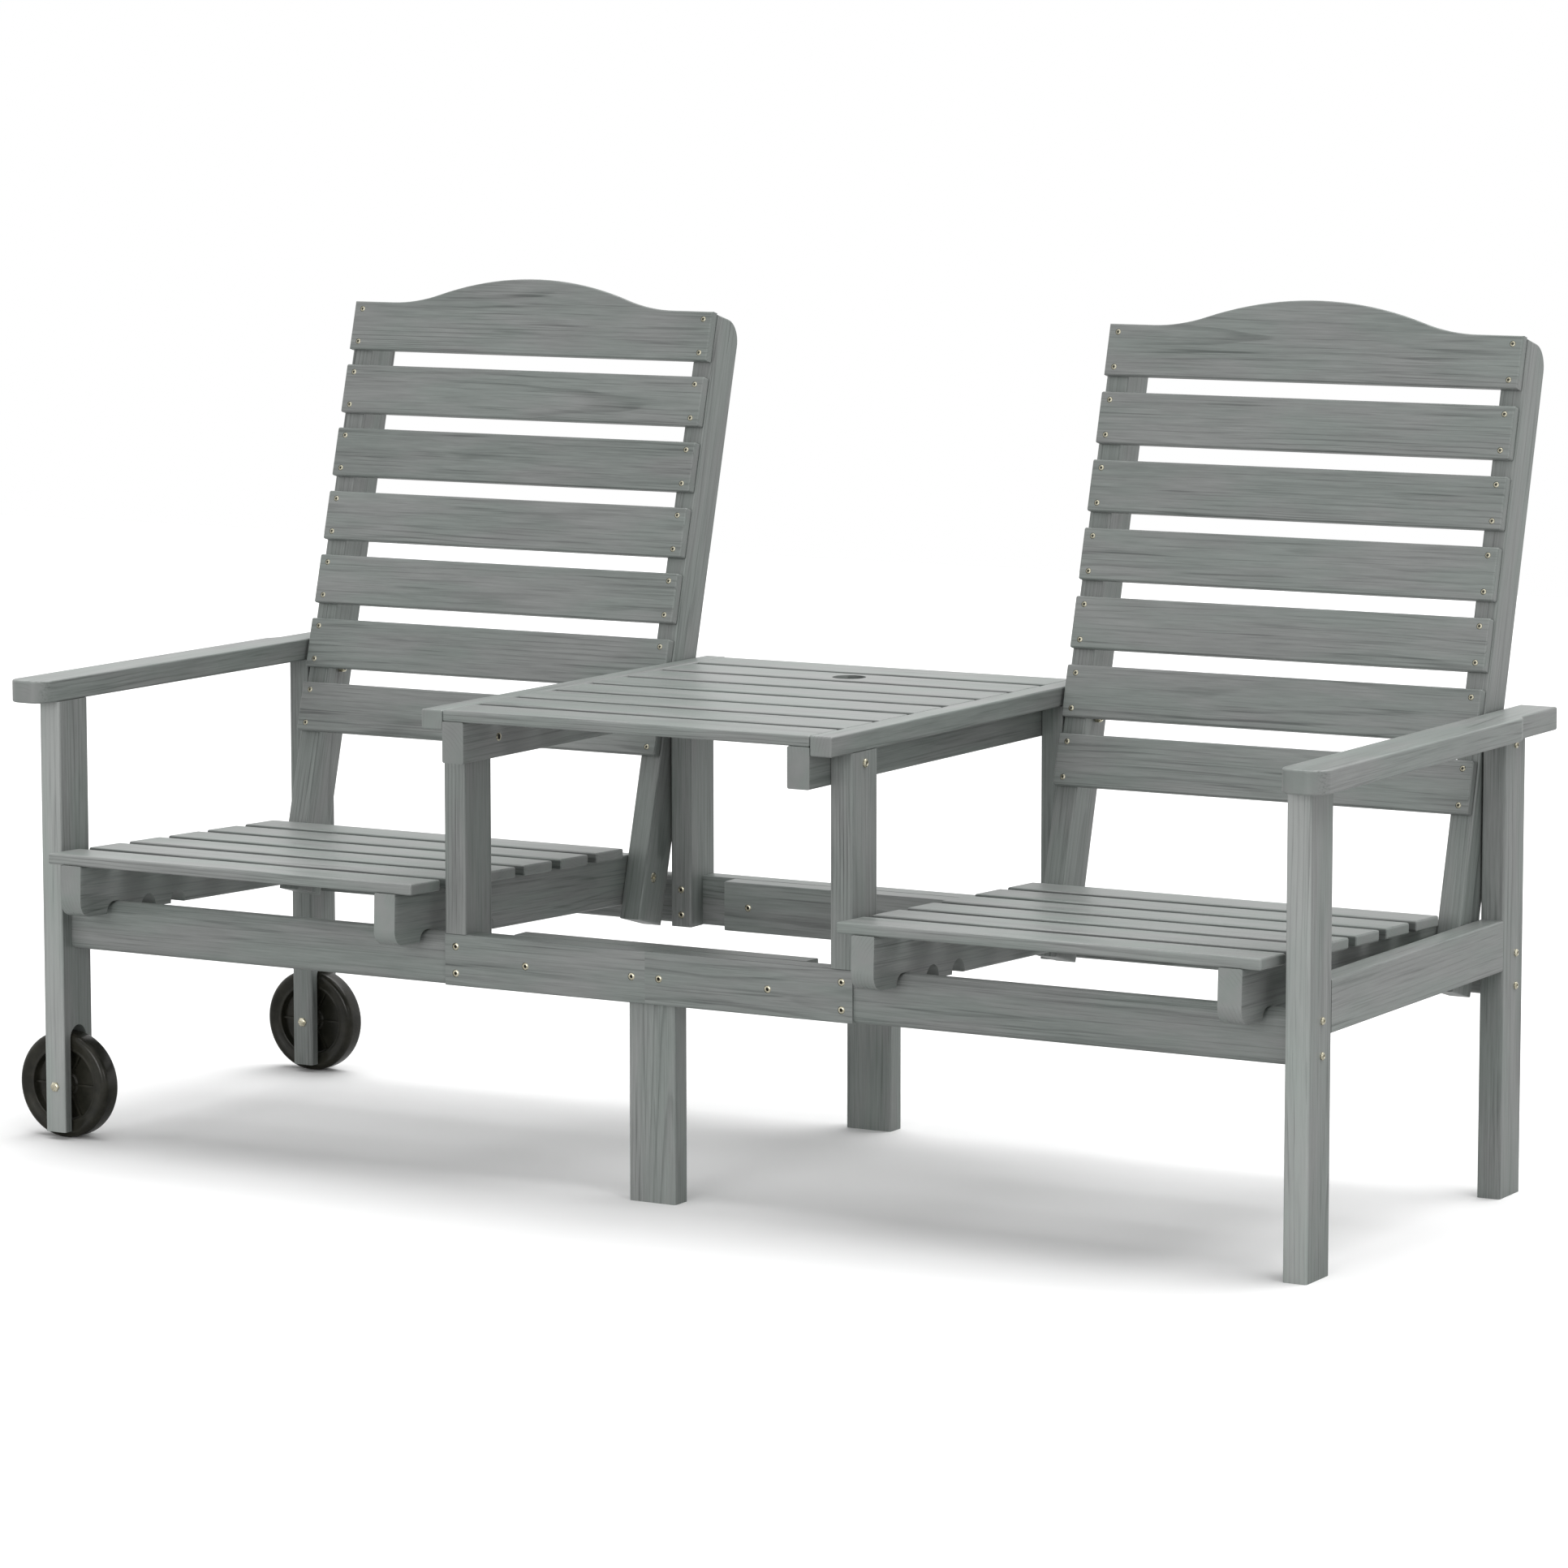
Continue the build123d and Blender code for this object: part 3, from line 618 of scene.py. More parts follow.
@dataclass(frozen=True)
class WheelPlastic:
    """Black moulded plastic with a fine satin skin."""

    base: Colour = linear(33, 33, 28)
    worn: Colour = linear(50, 49, 42)
    roughness: float = 0.16
    cloud_roughness: float = 0.12
    specular: float = 0.22
    cloud_fineness: Triple = (40.0, 40.0, 40.0)
    cloud_levels: Pair = (0.3, 0.75)
    skin_fineness: Triple = (1500.0, 1500.0, 1500.0)
    skin_strength: float = 0.1
    skin_depth: float = 0.0001

    def material(self) -> Material:
        """Build the finish.

        Returns:
            The finished material.
        """
        material, writer, shader = new_material("wheel_black")
        cloud = writer.speckle(self.cloud_fineness, 4.0, 0.6)
        skin = writer.speckle(self.skin_fineness, 1.0, 0.5)
        surface = {
            "Base Color": writer.mix(writer.rise(cloud, *self.cloud_levels), self.base, self.worn),
            "Roughness": writer.plus(writer.times(cloud, self.cloud_roughness), self.roughness),
            "Specular IOR Level": self.specular,
            "Normal": writer.bump(skin, self.skin_strength, self.skin_depth),
        }
        writer.fill(shader, surface)
        return material


@dataclass(frozen=True)
class PlainDowel:
    """Bare beech of the hidden dowels and pegs."""

    pale: Colour = linear(205, 178, 138)
    dark: Colour = linear(176, 146, 106)
    fleck_fineness: Triple = (300.0, 300.0, 60.0)
    roughness: float = 0.5
    fleck_roughness: float = 0.2

    def material(self) -> Material:
        """Build the finish.

        Returns:
            The finished material.
        """
        material, writer, shader = new_material("dowel_beech")
        fleck = writer.speckle(self.fleck_fineness, 3.0, 0.6)
        gloss = writer.plus(writer.times(fleck, self.fleck_roughness), self.roughness)
        writer.fill(shader, {"Base Color": writer.mix(fleck, self.dark, self.pale), "Roughness": gloss})
        return material


class Finishes:
    """The finishes that the pieces share, each built once."""

    def __init__(self) -> None:
        """Build the shared materials."""
        self.timber = StainedTimber()
        self.zinc = ZincHardware().material()
        # The third colour is the painted shade inside the sockets of the dulled screws.
        greyed = (linear(188, 184, 165), linear(150, 147, 130), linear(82, 82, 76))
        self.dull_zinc = ZincHardware("dull_zinc", *greyed, roughness=0.28).material()
        self.plastic = WheelPlastic().material()
        self.dowel = PlainDowel().material()


def solids_of(node: Thing) -> Iterator[np.ndarray]:
    """Split a node into its separate solids.

    Args:
        node: The node to read, which stays as it is.

    Yields:
        The corner points of each solid, one row each.
    """
    mesh = bmesh.new()
    mesh.from_mesh(node.data)
    bmesh.ops.remove_doubles(mesh, verts=mesh.verts, dist=WELD)
    waiting = set(mesh.verts)
    while waiting:
        edge = [waiting.pop()]
        found = []
        while edge:
            corner = edge.pop()
            found.append(corner.co[:])
            near = {link.other_vert(corner) for link in corner.link_edges} & waiting
            waiting -= near
            edge.extend(near)
        yield np.array(found)
    mesh.free()


def reach_from_axis(points: np.ndarray, spot: np.ndarray, way: np.ndarray) -> float:
    """Find how far points lie from an axis, at most.

    Args:
        points: The points, one row each.
        spot: A point on the axis.
        way: The axis's direction, one unit long.

    Returns:
        The largest distance.
    """
    offset = points - spot
    return float(np.linalg.norm(offset - np.outer(offset @ way, way), axis=1).max())


def stand_for(piece: Thing, node: str, body: str) -> None:
    """Let a drawn piece ride on a body and stand for a node.

    Args:
        piece: The drawn piece.
        node: The node that it stands for.
        body: The body that it rides on.
    """
    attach(piece, body)
    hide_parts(node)


class ShapeTree:
    """A node group with named inputs that shapes a mesh."""

    def __init__(self, name: str, kinds: dict[str, str]) -> None:
        """Start the group and give it its inputs.

        Args:
            name: The group's name.
            kinds: The kinds of the group's own inputs by name.
        """
        self.tree = bpy.data.node_groups.new(name, "GeometryNodeTree")
        self.writer = NodeWriter(self.tree)
        self.ids: dict[str, str] = {}
        for key, kind in ({"Base": "Geometry"} | kinds | {"Finish": "Material"}).items():
            socket = self.tree.interface.new_socket(key, in_out="INPUT", socket_type=f"NodeSocket{kind}")
            self.ids[key] = socket.identifier
        self.tree.interface.new_socket("Shape", in_out="OUTPUT", socket_type="NodeSocketGeometry")
        self.inputs = self.writer.add("NodeGroupInput").outputs

    def close(self, shape: Socket) -> None:
        """End the group with real meshes in their finish.

        Args:
            shape: The shape that the group has made.
        """
        real = self.writer.add("GeometryNodeRealizeInstances", {0: shape}).outputs[0]
        dressed = {"Geometry": real, "Material": self.inputs["Finish"]}
        ready = self.writer.add("GeometryNodeSetMaterial", dressed).outputs[0]
        self.writer.add("NodeGroupOutput", {0: ready})

    def run(self, name: str, base: bpy.types.Mesh, sizes: dict) -> Thing:
        """Run the group over a mesh and keep what it makes as a plain mesh.

        Args:
            name: The name of the finished piece.
            base: The mesh that the group starts from.
            sizes: The values of the group's inputs by name.

        Returns:
            The finished piece.
        """
        holder = bpy.data.objects.new(f"{name}_holder", base)
        bpy.context.scene.collection.objects.link(holder)
        modifier = holder.modifiers.new(self.tree.name, "NODES")
        modifier.node_group = self.tree
        for key, value in sizes.items():
            modifier[self.ids[key]] = value
        ready = holder.evaluated_get(bpy.context.evaluated_depsgraph_get())
        mesh = bpy.data.meshes.new_from_object(ready)
        bpy.data.objects.remove(holder)
        mesh.materials.clear()
        mesh.materials.append(sizes["Finish"])
        mesh.shade_smooth()
        mesh.set_sharp_from_angle(angle=SMOOTH_LIMIT)
        piece = bpy.data.objects.new(name, mesh)
        bpy.context.scene.collection.objects.link(piece)
        return piece


class Drive(Enum):
    """How the heads of a group of fasteners face."""

    REARWARD = "driven towards the rear"
    DOWN_THE_LEAN = "driven square into a leaning back"
    INWARD = "driven towards the middle of the bench"
    SIDEWAYS = "driven along the bench, away from its own head"

    def ahead(self, points: np.ndarray) -> Vector:
        """Give the way that a fastener is driven.

        Args:
            points: The corner points of the fastener.

        Returns:
            The way from its head to its tip.
        """
        if self is Drive.REARWARD:
            return Vector(REARWARD)
        if self is Drive.DOWN_THE_LEAN:
            return Vector(INTO_THE_BACK)
        x = points[:, 0]
        if self is Drive.INWARD:
            return Vector((-math.copysign(1.0, x.mean()), 0, 0))
        end_slice = 0.002
        breadths = [np.ptp(points[np.abs(x - end) < end_slice, 2]) for end in (x.min(), x.max())]
        return Vector((math.copysign(1.0, breadths[0] - breadths[1]), 0, 0))


@dataclass(frozen=True)
class Seat:
    """Where a fastener's head meets its shank, the way that the head faces, and the shank's length."""

    spot: Vector
    facing: Vector
    length: float


class FastenerTree(ShapeTree):
    """A node group that sets a screw, bolt or nut at every point of a mesh."""

    dome_power = 4.0
    dome_drop = 0.5
    socket_drop = 0.5
    head_rings = 8

    def __init__(self) -> None:
        """Build the group and its named inputs."""
        lengths = ("Head Radius", "Head Height", "Socket Radius", "Shank Radius")
        kinds = dict.fromkeys(lengths, "Float") | {"Head Sides": "Int", "Shank Sides": "Int"}
        super().__init__("fastener", kinds)
        self.join_up()

    def head(self) -> Socket:
        """Draw a low domed head with a sunk socket.

        Returns:
            The head's output.
        """
        writer, inputs = self.writer, self.inputs
        sizes = {"Vertices": inputs["Head Sides"], "Side Segments": 1, "Fill Segments": self.head_rings}
        sizes |= {"Radius": inputs["Head Radius"], "Depth": inputs["Head Height"]}
        disc = writer.add("GeometryNodeMeshCylinder", sizes, fill_type="NGON").outputs["Mesh"]
        spot = writer.add("GeometryNodeInputPosition").outputs[0]
        x, y, z = writer.add("ShaderNodeSeparateXYZ", {0: spot}).outputs
        reach = writer.vector("LENGTH", writer.combine(x, y, 0.0), ORIGIN)
        share = writer.math("DIVIDE", reach, inputs["Head Radius"])
        dome = writer.times(writer.math("POWER", share, self.dome_power), -self.dome_drop)
        hollow = writer.math("LESS_THAN", reach, inputs["Socket Radius"])
        drop = writer.plus(dome, writer.times(hollow, -self.socket_drop))
        upper = writer.math("GREATER_THAN", z, 0.0)
        # The socket mark tells the zinc finish where to paint shade inside the socket.
        mark = {"Geometry": disc, "Selection": upper, "Name": "socket", "Value": hollow}
        marked = writer.add("GeometryNodeStoreNamedAttribute", mark, data_type="FLOAT", domain="POINT")
        offset = writer.combine(0.0, 0.0, writer.times(drop, inputs["Head Height"]))
        push = {"Geometry": marked.outputs["Geometry"], "Selection": upper, "Offset": offset}
        shaped = writer.add("GeometryNodeSetPosition", push).outputs["Geometry"]
        return self.lifted(shaped, writer.times(inputs["Head Height"], 0.5))

    def shank(self) -> Socket:
        """Draw a plain shank of unit length under the head.

        Returns:
            The shank's output.
        """
        sizes = {"Vertices": self.inputs["Shank Sides"], "Radius": self.inputs["Shank Radius"], "Depth": 1.0}
        stem = self.writer.add("GeometryNodeMeshCylinder", sizes, fill_type="NGON")
        return self.lifted(stem.outputs["Mesh"], -0.5)

    def lifted(self, shape: Socket, height: object) -> Socket:
        """Move a shape up by a height."""
        move = {"Geometry": shape, "Translation": self.writer.combine(0.0, 0.0, height)}
        return self.writer.add("GeometryNodeTransform", move).outputs["Geometry"]

    def join_up(self) -> None:
        """Set a head and a shank of the right length at each point."""
        writer = self.writer
        turn = writer.add("GeometryNodeInputNamedAttribute", {"Name": "turn"}, data_type="FLOAT_VECTOR")
        euler = writer.add("FunctionNodeEulerToRotation", {0: turn.outputs["Attribute"]}).outputs[0]
        length = writer.add("GeometryNodeInputNamedAttribute", {"Name": "length"}, data_type="FLOAT")
        stretch = writer.combine(1.0, 1.0, length.outputs["Attribute"])
        whole = writer.add("GeometryNodeJoinGeometry")
        for shape, scale in ((self.head(), (1.0, 1.0, 1.0)), (self.shank(), stretch)):
            seat = {"Points": self.inputs["Base"], "Instance": shape, "Rotation": euler, "Scale": scale}
            writer.fill(whole, {0: writer.add("GeometryNodeInstanceOnPoints", seat).outputs[0]})
        self.close(whole.outputs[0])

    def set_out(self, name: str, seats: list[Seat], sizes: dict) -> Thing:
        """Run the group over a set of seats.

        Args:
            name: The name of the finished piece.
            seats: Where the fasteners sit.
            sizes: The values of the group's inputs by name.

        Returns:
            The finished piece.
        """
        dots = bpy.data.meshes.new(f"{name}_seats")
        dots.from_pydata([tuple(seat.spot) for seat in seats], [], [])
        turns = [seat.facing.to_track_quat("Z", "Y").to_euler() for seat in seats]
        field = dots.attributes.new("turn", "FLOAT_VECTOR", "POINT")
        field.data.foreach_set("vector", [angle for turn in turns for angle in turn])
        field = dots.attributes.new("length", "FLOAT", "POINT")
        field.data.foreach_set("value", [seat.length for seat in seats])
        return self.run(name, dots, sizes)


@dataclass(frozen=True)
class Shop:
    """What the pieces are made from: the frame's nodes, the finishes and the fasteners' node group."""

    nodes: dict[str, Thing]
    finishes: Finishes
    tree: FastenerTree


@dataclass(frozen=True)
class FastenerGroup:
    """Alike screws or bolts of one node, drawn again with domed and socketed heads."""

    node: str
    body: str
    drive: Drive
    head_height: float
    head_share: float = 1.0
    shank_share: float = 0.52
    socket_share: float = 0.46
    head_sides: int = 24
    shank_sides: int = 10
    shank_cut: float = 0.0
    head_slack: float = 1.05

    def build(self, shop: Shop, finish: Material) -> Thing:
        """Set the fasteners where the node has them.

        Args:
            shop: What the pieces are made from.
            finish: The fasteners' material.

        Returns:
            The finished piece, which stands for the node.
        """
        seats, head_radius = [], 0.0
        for points in solids_of(shop.nodes[self.node]):
            ahead = self.drive.ahead(points)
            reach = points @ np.array(ahead)
            rim = points[reach < reach.min() + self.head_height * self.head_slack]
            middle = Vector((rim.min(0) + rim.max(0)) / 2)
            crown = middle + ahead * (float(reach.min()) - middle.dot(ahead))
            head_radius = reach_from_axis(rim, np.array(crown), np.array(ahead))
            length = float(reach.max() - reach.min()) - self.head_height - self.shank_cut
            seats.append(Seat(crown + ahead * self.head_height, -ahead, length))
        sizes = {
            "Head Radius": head_radius * self.head_share,
            "Head Height": self.head_height,
            # The socket is where the finish paints shade.
            "Socket Radius": head_radius * self.head_share * self.socket_share,
            "Shank Radius": head_radius * self.shank_share,
            "Head Sides": self.head_sides,
            "Shank Sides": self.shank_sides,
            "Finish": finish,
        }
        piece = shop.tree.set_out(f"{self.node}_drawn", seats, sizes)
        stand_for(piece, self.node, self.body)
        return piece


@dataclass(frozen=True)
class LockNuts:
    """The nuts on the ends of the bolts: collared hexagons, and sleeves sunk in the table rails."""

    node: str = "lock_nuts"
    body: str = "frame"
    bolts: tuple[str, ...] = ("back_pivot_bolts", "axle_bolts", "table_bolts")
    sleeved: str = "table_bolts"
    nut_sides: int = 6
    round_sides: int = 24
    collar_height: float = 0.0024
    collar_share: float = 0.80
    hole_share: float = 0.56
    sleeve_radius: float = 0.0050
    sleeve_height: float = 0.0012
    sleeve_length: float = 0.0100
    sleeve_hole_share: float = 0.66
    sleeve_stem_share: float = 0.80
    sleeve_sides: int = 10

    def bolt_through(self, shop: Shop, nut: np.ndarray) -> tuple[str, Vector]:
        """Find the bolt that a nut sits on.

        Args:
            shop: What the pieces are made from.
            nut: The nut's middle.

        Returns:
            The bolt's node, and the way from its head to the nut.
        """
        for name in self.bolts:
            for points in solids_of(shop.nodes[name]):
                low, high = points.min(0), points.max(0)
                if ((nut > low) & (nut < high)).all():
                    long = int(np.argmax(high - low))
                    way = np.zeros(3)
                    way[long] = math.copysign(1.0, nut[long] - (low[long] + high[long]) / 2)
                    return name, Vector(way)
        raise ValueError("a nut has no bolt")

    def build(self, shop: Shop) -> list[Thing]:
        """Draw the nuts where the node has them.

        Args:
            shop: What the pieces are made from.

        Returns:
            The hexagon nuts and the sleeves, which stand for the node.
        """
        nuts: list[Seat] = []
        sleeves: list[Seat] = []
        radius = 0.0
        for points in solids_of(shop.nodes[self.node]):
            middle = (points.min(0) + points.max(0)) / 2
            bolt, way = self.bolt_through(shop, middle)
            height = float(np.ptp((points - middle) @ np.array(way)))
            radius = reach_from_axis(points, middle, np.array(way))
            bearing = Vector(middle) - way * (height / 2)
            if bolt == self.sleeved:
                sleeves.append(Seat(bearing, way, self.sleeve_length))
            else:
                lift = height - self.collar_height
                nuts.append(Seat(bearing + way * lift, way, lift))
        # The holes of the collars and of the sleeves carry the socket mark, so the zinc finish paints shade
        # in them.
        shared = {"Head Sides": self.round_sides, "Finish": shop.finishes.zinc}
        hexagon = {
            "Head Radius": radius * self.collar_share,
            "Head Height": self.collar_height,
            "Socket Radius": radius * self.hole_share,
            "Shank Radius": radius,
            "Shank Sides": self.nut_sides,
        }
        sleeve = {
            "Head Radius": self.sleeve_radius,
            "Head Height": self.sleeve_height,
            "Socket Radius": self.sleeve_radius * self.sleeve_hole_share,
            "Shank Radius": self.sleeve_radius * self.sleeve_stem_share,
            "Shank Sides": self.sleeve_sides,
        }
        pieces = [
            shop.tree.set_out("lock_nuts_drawn", nuts, hexagon | shared),
            shop.tree.set_out("table_sleeves_drawn", sleeves, sleeve | shared),
        ]
        for piece in pieces:
            stand_for(piece, self.node, self.body)
        return pieces


@dataclass(frozen=True)
class Chair:
    """One reclining armchair of the bench, on the left or the right."""

    side: str
    slat_width: float = 0.0654
    back_slats: int = 6
    seat_slats: int = 6
    front_sapwood: float = 0.48
    runner_tone: float = 0.08
    back_tone: float = -0.06
    seat_tone: float = 0.06
    # Painted shade that darkens the seat slats' faces inside their slits.
    painted_slit_shade: float = 0.40
    screw_head: float = 0.002
    # How wide the screws' sockets are, where the zinc finish paints shade.
    screw_socket: float = 0.4

    def dress(self, shop: Shop) -> None:
        """Give the chair's timbers their grain.

        Args:
            shop: What the pieces are made from.
        """
        single = {
            Grain.POST: ("outer_front_post", "outer_rear_post", "inner_front_post", "inner_rear_post"),
            Grain.ARM: ("arm",),
            Grain.SIDE: ("side_rail",),
            Grain.UPRIGHT: ("front_rail", "rear_rail"),
            Grain.STILE: ("back_inner_stile", "back_outer_stile"),
            Grain.BACK: ("crown_slat",),
            Grain.RUNNER: ("seat_inner_rail", "seat_outer_rail"),
        }
        tones = {Grain.RUNNER: self.runner_tone, Grain.BACK: self.back_tone}
        nodes, dress = shop.nodes, shop.finishes.timber.dress
        for grain, names in single.items():
            for name in names:
                sapwood = self.front_sapwood if name == "outer_front_post" else 0.0
                dress(nodes[f"{self.side}_{name}"], grain, tone=tones.get(grain, 0.0), sapwood=sapwood)
        back, seat = nodes[f"{self.side}_back_slats"], nodes[f"{self.side}_seat_slats"]
        dress(back, Grain.BACK, self.back_slats, self.slat_width, self.back_tone)
        dress(seat, Grain.SEAT, self.seat_slats, self.slat_width, self.seat_tone, painted_slit_shade=self.painted_slit_shade)
        coat(nodes[f"{self.side}_seat_pegs"], shop.finishes.dowel)
        coat(nodes[f"{self.side}_seat_pivot_bolts"], shop.finishes.zinc)

    def build(self, shop: Shop) -> list[Thing]:
        """Draw the screws of the back.

        Args:
            shop: What the pieces are made from.

        Returns:
            The finished pieces.
        """
        node, body, drive = f"{self.side}_back_screws", f"{self.side}_back", Drive.DOWN_THE_LEAN
        screws = FastenerGroup(node, body, drive, self.screw_head, socket_share=self.screw_socket)
        return [screws.build(shop, shop.finishes.dull_zinc)]


@dataclass(frozen=True)
class MiddleTable:
    """The boards, legs and slatted table between the chairs."""

    slat_width: float = 0.070
    slats: int = 8
    leg_tone: float = 0.16
    # Painted shade that darkens the table slats' faces inside their slits.
    painted_slit_shade: float = 0.40

    def dress(self, shop: Shop) -> None:
        """Give the table's timbers their grain.

        Args:
            shop: What the pieces are made from.
        """
        nodes, dress = shop.nodes, shop.finishes.timber.dress
        for side in SIDES:
            for name in ("front_board", "rear_board"):
                dress(nodes[f"{side}_{name}"], Grain.UPRIGHT)
            for name in ("table_end_board", "table_rail"):
                dress(nodes[f"{side}_{name}"], Grain.SIDE)
        for end in ("front", "rear"):
            dress(nodes[f"{end}_splice"], Grain.UPRIGHT)
            dress(nodes[f"{end}_middle_leg"], Grain.LEG, tone=self.leg_tone)
        dress(nodes["table_slats"], Grain.FLAT, self.slats, self.slat_width, painted_slit_shade=self.painted_slit_shade)
        # The umbrella slat's side faces take the same painted shade.
        dress(nodes["umbrella_slat"], Grain.FLAT, painted_slit_shade=self.painted_slit_shade)


@dataclass(frozen=True)
class Hardware:
    """The fasteners of the frame."""

    groups: tuple[FastenerGroup, ...] = (
        FastenerGroup("wood_screws", "frame", Drive.REARWARD, 0.002),
        FastenerGroup("rail_bolts", "frame", Drive.INWARD, 0.003, head_share=0.76),
        FastenerGroup("table_bolts", "frame", Drive.INWARD, 0.003, head_share=0.8, shank_cut=0.013),
        FastenerGroup("axle_bolts", "frame", Drive.REARWARD, 0.003, socket_share=0.0, head_sides=6),
        FastenerGroup("back_pivot_bolts", "frame", Drive.SIDEWAYS, 0.003, head_share=0.7),
    )
    nuts: LockNuts = LockNuts()

    def dress(self, shop: Shop) -> None:
        """Coat the washers and the dowels, which keep their own shape."""
        coat(shop.nodes["pivot_washers"], shop.finishes.zinc)
        coat(shop.nodes["dowels"], shop.finishes.dowel)

    def build(self, shop: Shop) -> list[Thing]:
        """Draw the screws, bolts and nuts."""
        drawn = [group.build(shop, shop.finishes.zinc) for group in self.groups]
        return drawn + self.nuts.build(shop)


class RibTree(ShapeTree):
    """A node group that adds ribs to a wheel's disc and sets the wheel on its axle."""

    def __init__(self) -> None:
        """Build the group and its named inputs."""
        kinds = {"Rib Count": "Int", "Rib Radius": "Float", "Rib Size": "Vector", "Axle": "Vector"}
        super().__init__("wheel_ribs", kinds)
        self.join_up()

    def join_up(self) -> None:
        """Stand ribs round a circle, join them to the disc and turn the axle to the rear."""
        writer, inputs = self.writer, self.inputs
        circle = {"Vertices": inputs["Rib Count"], "Radius": inputs["Rib Radius"]}
        ring = writer.add("GeometryNodeMeshCircle", circle).outputs[0]
        rib = writer.add("GeometryNodeMeshCube", {"Size": inputs["Rib Size"]}).outputs["Mesh"]
        spot = writer.add("GeometryNodeInputPosition").outputs[0]
        outward = writer.add("FunctionNodeAlignRotationToVector", {"Vector": spot}, axis="X", pivot_axis="Z")
        spokes = {"Points": ring, "Instance": rib, "Rotation": outward.outputs[0]}
        whole = writer.add("GeometryNodeJoinGeometry", {0: inputs["Base"]})
        writer.fill(whole, {0: writer.add("GeometryNodeInstanceOnPoints", spokes).outputs[0]})
        stand = {"Geometry": whole.outputs[0], "Translation": inputs["Axle"]}
        stand |= {"Rotation": (math.pi / 2, 0.0, 0.0)}
        self.close(writer.add("GeometryNodeTransform", stand).outputs[0])


@dataclass(frozen=True)
class Wheel:
    """A moulded wheel with a round shouldered tyre, a lipped recess, a dished web, ribs and a hub."""

    node: str
    bore: float = 0.0041
    hub_radius: float = 0.0140
    hub_half: float = 0.0150
    hub_round: float = 0.0012
    web_radius: float = 0.0300
    web_half: float = 0.0034
    recess_radius: float = 0.0462
    shoulder: float = 0.0070
    shoulder_steps: int = 7
    half_width: float = 0.0149
    turns: int = 96
    ribs: int = 6
    rib_size: Triple = (0.0320, 0.0024, 0.0150)

    def half_section(self, radius: float) -> list[Pair]:
        """Draw half of the section, from the hub's end out to the middle of the tread.

        Args:
            radius: The wheel's outer radius.

        Returns:
            Pairs of radius and half width.
        """
        hub, web, recess = self.hub_radius, self.web_half, self.recess_radius
        edge, bend = self.half_width, self.shoulder
        points = [(self.bore, self.hub_half), (hub - self.hub_round, self.hub_half)]
        points += [(hub, self.hub_half - self.hub_round)]
        # The hollow curve from the hub to the web.
        points += [(hub + 0.0006, web + 0.0026), (hub + 0.0026, web + 0.0006), (self.web_radius, web)]
        # The wall of the recess.
        points += [(recess - 0.0026, web + 0.0008), (recess - 0.0006, web + 0.0030), (recess, edge - 0.0034)]
        # The lip and the shallow groove beside it.
        points += [(recess + 0.0006, edge - 0.0022), (recess + 0.0018, edge - 0.0018)]
        points += [(recess + 0.0028, edge - 0.0019), (recess + 0.0036, edge - 0.0022)]
        # The side of the tyre and its round shoulder.
        points += [(recess + 0.0054, edge - 0.0019), (radius - bend - 0.0055, edge - 0.0011)]
        points += [(radius - bend - 0.0025, edge - 0.0003)]
        for step in range(self.shoulder_steps + 1):
            angle = step / self.shoulder_steps * math.pi / 2
            points.append((radius - bend + bend * math.sin(angle), edge - bend + bend * math.cos(angle)))
        return points

    def build(self, tree: RibTree, finish: Material) -> Thing:
        """Spin the section into a disc, add the ribs and set the wheel on its axle.

        Args:
            tree: The node group that adds ribs.
            finish: The wheel's material.

        Returns:
            The finished piece, which stands for the node.
        """
        low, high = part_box(self.node)
        sizes = {
            "Rib Count": self.ribs,
            "Rib Radius": (self.hub_radius + self.recess_radius) / 2,
            "Rib Size": self.rib_size,
            "Axle": tuple((low + high) / 2),
            "Finish": finish,
        }
        piece = tree.run(f"{self.node}_drawn", self.disc((high.z - low.z) / 2), sizes)
        stand_for(piece, self.node, self.node)
        return piece

    def disc(self, radius: float) -> bpy.types.Mesh:
        """Spin the whole section round the Z axis.

        Args:
            radius: The wheel's outer radius.

        Returns:
            The disc's mesh.
        """
        upper = self.half_section(radius)
        section = upper + [(reach, -half) for reach, half in reversed(upper)]
        shape = bmesh.new()
        corners = [shape.verts.new((reach, 0.0, half)) for reach, half in section]
        edges = [shape.edges.new(pair) for pair in zip(corners, corners[1:] + corners[:1])]
        sweep = {"axis": UPWARD, "cent": ORIGIN, "angle": math.tau, "steps": self.turns}
        bmesh.ops.spin(shape, geom=corners + edges, use_merge=True, **sweep)
        bmesh.ops.remove_doubles(shape, verts=shape.verts, dist=WELD)
        bmesh.ops.recalc_face_normals(shape, faces=shape.faces)
        mesh = bpy.data.meshes.new(f"{self.node}_disc")
        shape.to_mesh(mesh)
        shape.free()
        return mesh


@dataclass(frozen=True)
class Wheels:
    """The two wheels at the left end."""

    names: tuple[str, str] = ("front_wheel", "rear_wheel")

    def build(self, shop: Shop) -> list[Thing]:
        """Build both wheels."""
        tree = RibTree()
        return [Wheel(name).build(tree, shop.finishes.plastic) for name in self.names]


@dataclass(frozen=True)
class SoftLight:
    """A far lamp with a soft edge."""

    name: str
    source: Triple
    spread: float
    level: float
    distance: float = 4.0

    def build(self) -> None:
        """Hang the lamp."""
        data = bpy.data.lights.new(self.name, "SUN")
        data.angle = math.radians(self.spread)
        data.energy = self.level * math.pi
        lamp = bpy.data.objects.new(self.name, data)
        lamp.location = Vector(self.source) * self.distance
        lamp.rotation_euler = (-Vector(self.source)).to_track_quat("-Z", "Y").to_euler()
        bpy.context.scene.collection.objects.link(lamp)


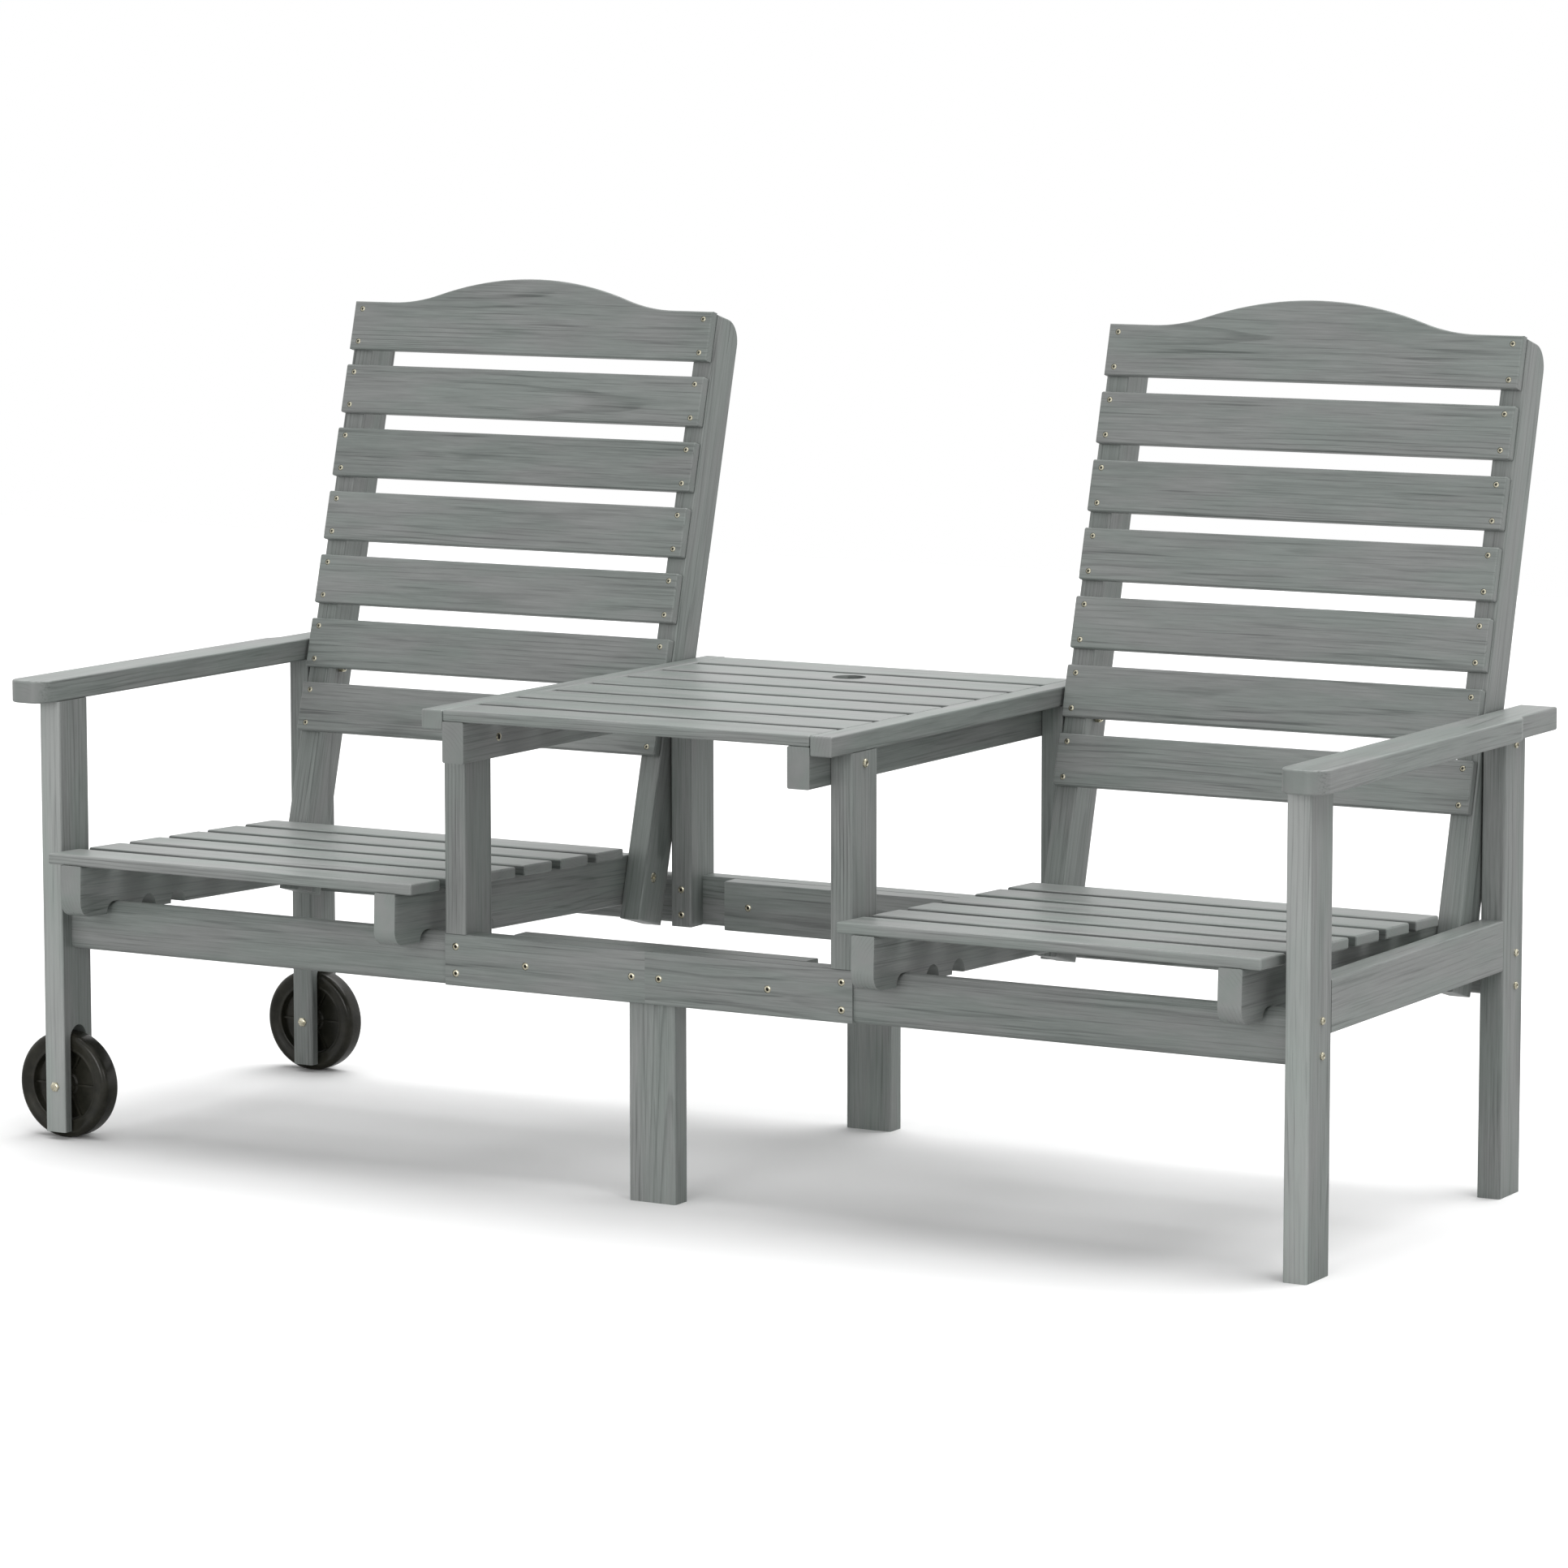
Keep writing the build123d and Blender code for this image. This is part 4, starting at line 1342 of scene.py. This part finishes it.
@dataclass(frozen=True)
class Studio:
    """A white room with a soft light from above and the camera of the photo."""

    eye: Triple = (3.6387, -6.3008, 1.4336)
    yaw: float = math.radians(29.56)
    pitch: float = math.radians(7.13)
    lens: float = 136.05
    sensor: float = 36.0
    shift: Pair = (-0.0213, -0.0266)
    far_limit: float = 100.0
    floor_half: float = 7.0
    floor_bounce: Colour = (0.50, 0.50, 0.50, 1.0)
    floor_shown: Colour = (0.92, 0.92, 0.92, 1.0)
    floor_roughness: float = 0.9
    ambient: float = 0.53
    lights: tuple[SoftLight, ...] = (
        SoftLight("top_light", (0.14, 0.26, 1.0), 70.0, 1.0),
        SoftLight("front_light", (0.0, -1.0, 0.22), 25.0, 0.27),
        SoftLight("side_light", (0.87, -0.49, 0.3), 10.0, 0.06),
    )

    def build(self) -> None:
        """Set up the floor, the light and the camera."""
        self.build_floor()
        self.build_world()
        for light in self.lights:
            light.build()
        self.build_camera()

    def build_floor(self) -> None:
        """Lay the pale floor."""
        half = self.floor_half
        mesh = bpy.data.meshes.new("floor")
        outline = [(-half, -half, 0), (half, -half, 0), (half, half, 0), (-half, half, 0)]
        mesh.from_pydata(outline, [], [(0, 1, 2, 3)])
        floor = bpy.data.objects.new("floor", mesh)
        bpy.context.scene.collection.objects.link(floor)
        material, writer, shader = new_material("pale_floor")
        seen = writer.add("ShaderNodeLightPath").outputs["Is Camera Ray"]
        tone = writer.mix(seen, self.floor_bounce, self.floor_shown)
        surface = {"Base Color": tone, "Roughness": self.floor_roughness, "Specular IOR Level": 0.0}
        writer.fill(shader, surface)
        mesh.materials.append(material)
        floor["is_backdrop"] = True

    def build_world(self) -> None:
        """Light the room evenly, and show white behind the object."""
        world = bpy.data.worlds.new("studio")
        bpy.context.scene.world = world
        world.use_nodes = True
        writer = NodeWriter(world.node_tree)
        path = writer.add("ShaderNodeLightPath").outputs
        seen = writer.math("MAXIMUM", path["Is Camera Ray"], path["Is Glossy Ray"])
        seen = writer.math("MAXIMUM", seen, path["Is Transmission Ray"])
        strength = writer.total((seen, 1.0 - self.ambient), (1.0, self.ambient))
        shade = world.node_tree.nodes["Background"]
        writer.fill(shade, {"Strength": strength, "Color": (1.0, 1.0, 1.0, 1.0)})

    def build_camera(self) -> None:
        """Stand the camera where the photo was taken from."""
        data = bpy.data.cameras.new("photo_camera")
        data.sensor_width = self.sensor
        data.sensor_fit = "HORIZONTAL"
        data.lens = self.lens
        data.shift_x, data.shift_y = self.shift
        data.clip_end = self.far_limit
        camera = bpy.data.objects.new("photo_camera", data)
        camera.location = self.eye
        camera.rotation_euler = (math.pi / 2 - self.pitch, 0.0, self.yaw)
        bpy.context.scene.collection.objects.link(camera)
        bpy.context.scene.camera = camera
        bpy.context.scene.view_settings.view_transform = "Standard"


def corners() -> Sequence[list[float]]:
    """Read the shown object's lowest and highest corner as plain lists."""
    return [list(corner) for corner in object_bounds()]


def report(group: str, pieces: list[Thing]) -> None:
    """Log the drawn pieces of a group."""
    for piece in pieces:
        LOG.info("%s: %s, %d faces", group, piece.name, len(piece.data.polygons))


def main() -> None:
    """Build every piece in order."""
    logging.basicConfig(level=logging.INFO, format="%(message)s")
    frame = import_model()
    shop = Shop(frame["nodes"], Finishes(), FastenerTree())
    for side in SIDES:
        chair = Chair(side)
        chair.dress(shop)
        report(f"{side} chair", chair.build(shop))
    MiddleTable().dress(shop)
    LOG.info("middle table dressed")
    hardware = Hardware()
    hardware.dress(shop)
    report("hardware", hardware.build(shop))
    report("wheels", Wheels().build(shop))
    Studio().build()
    LOG.info("studio set up")


if __name__ == "__main__":
    main()
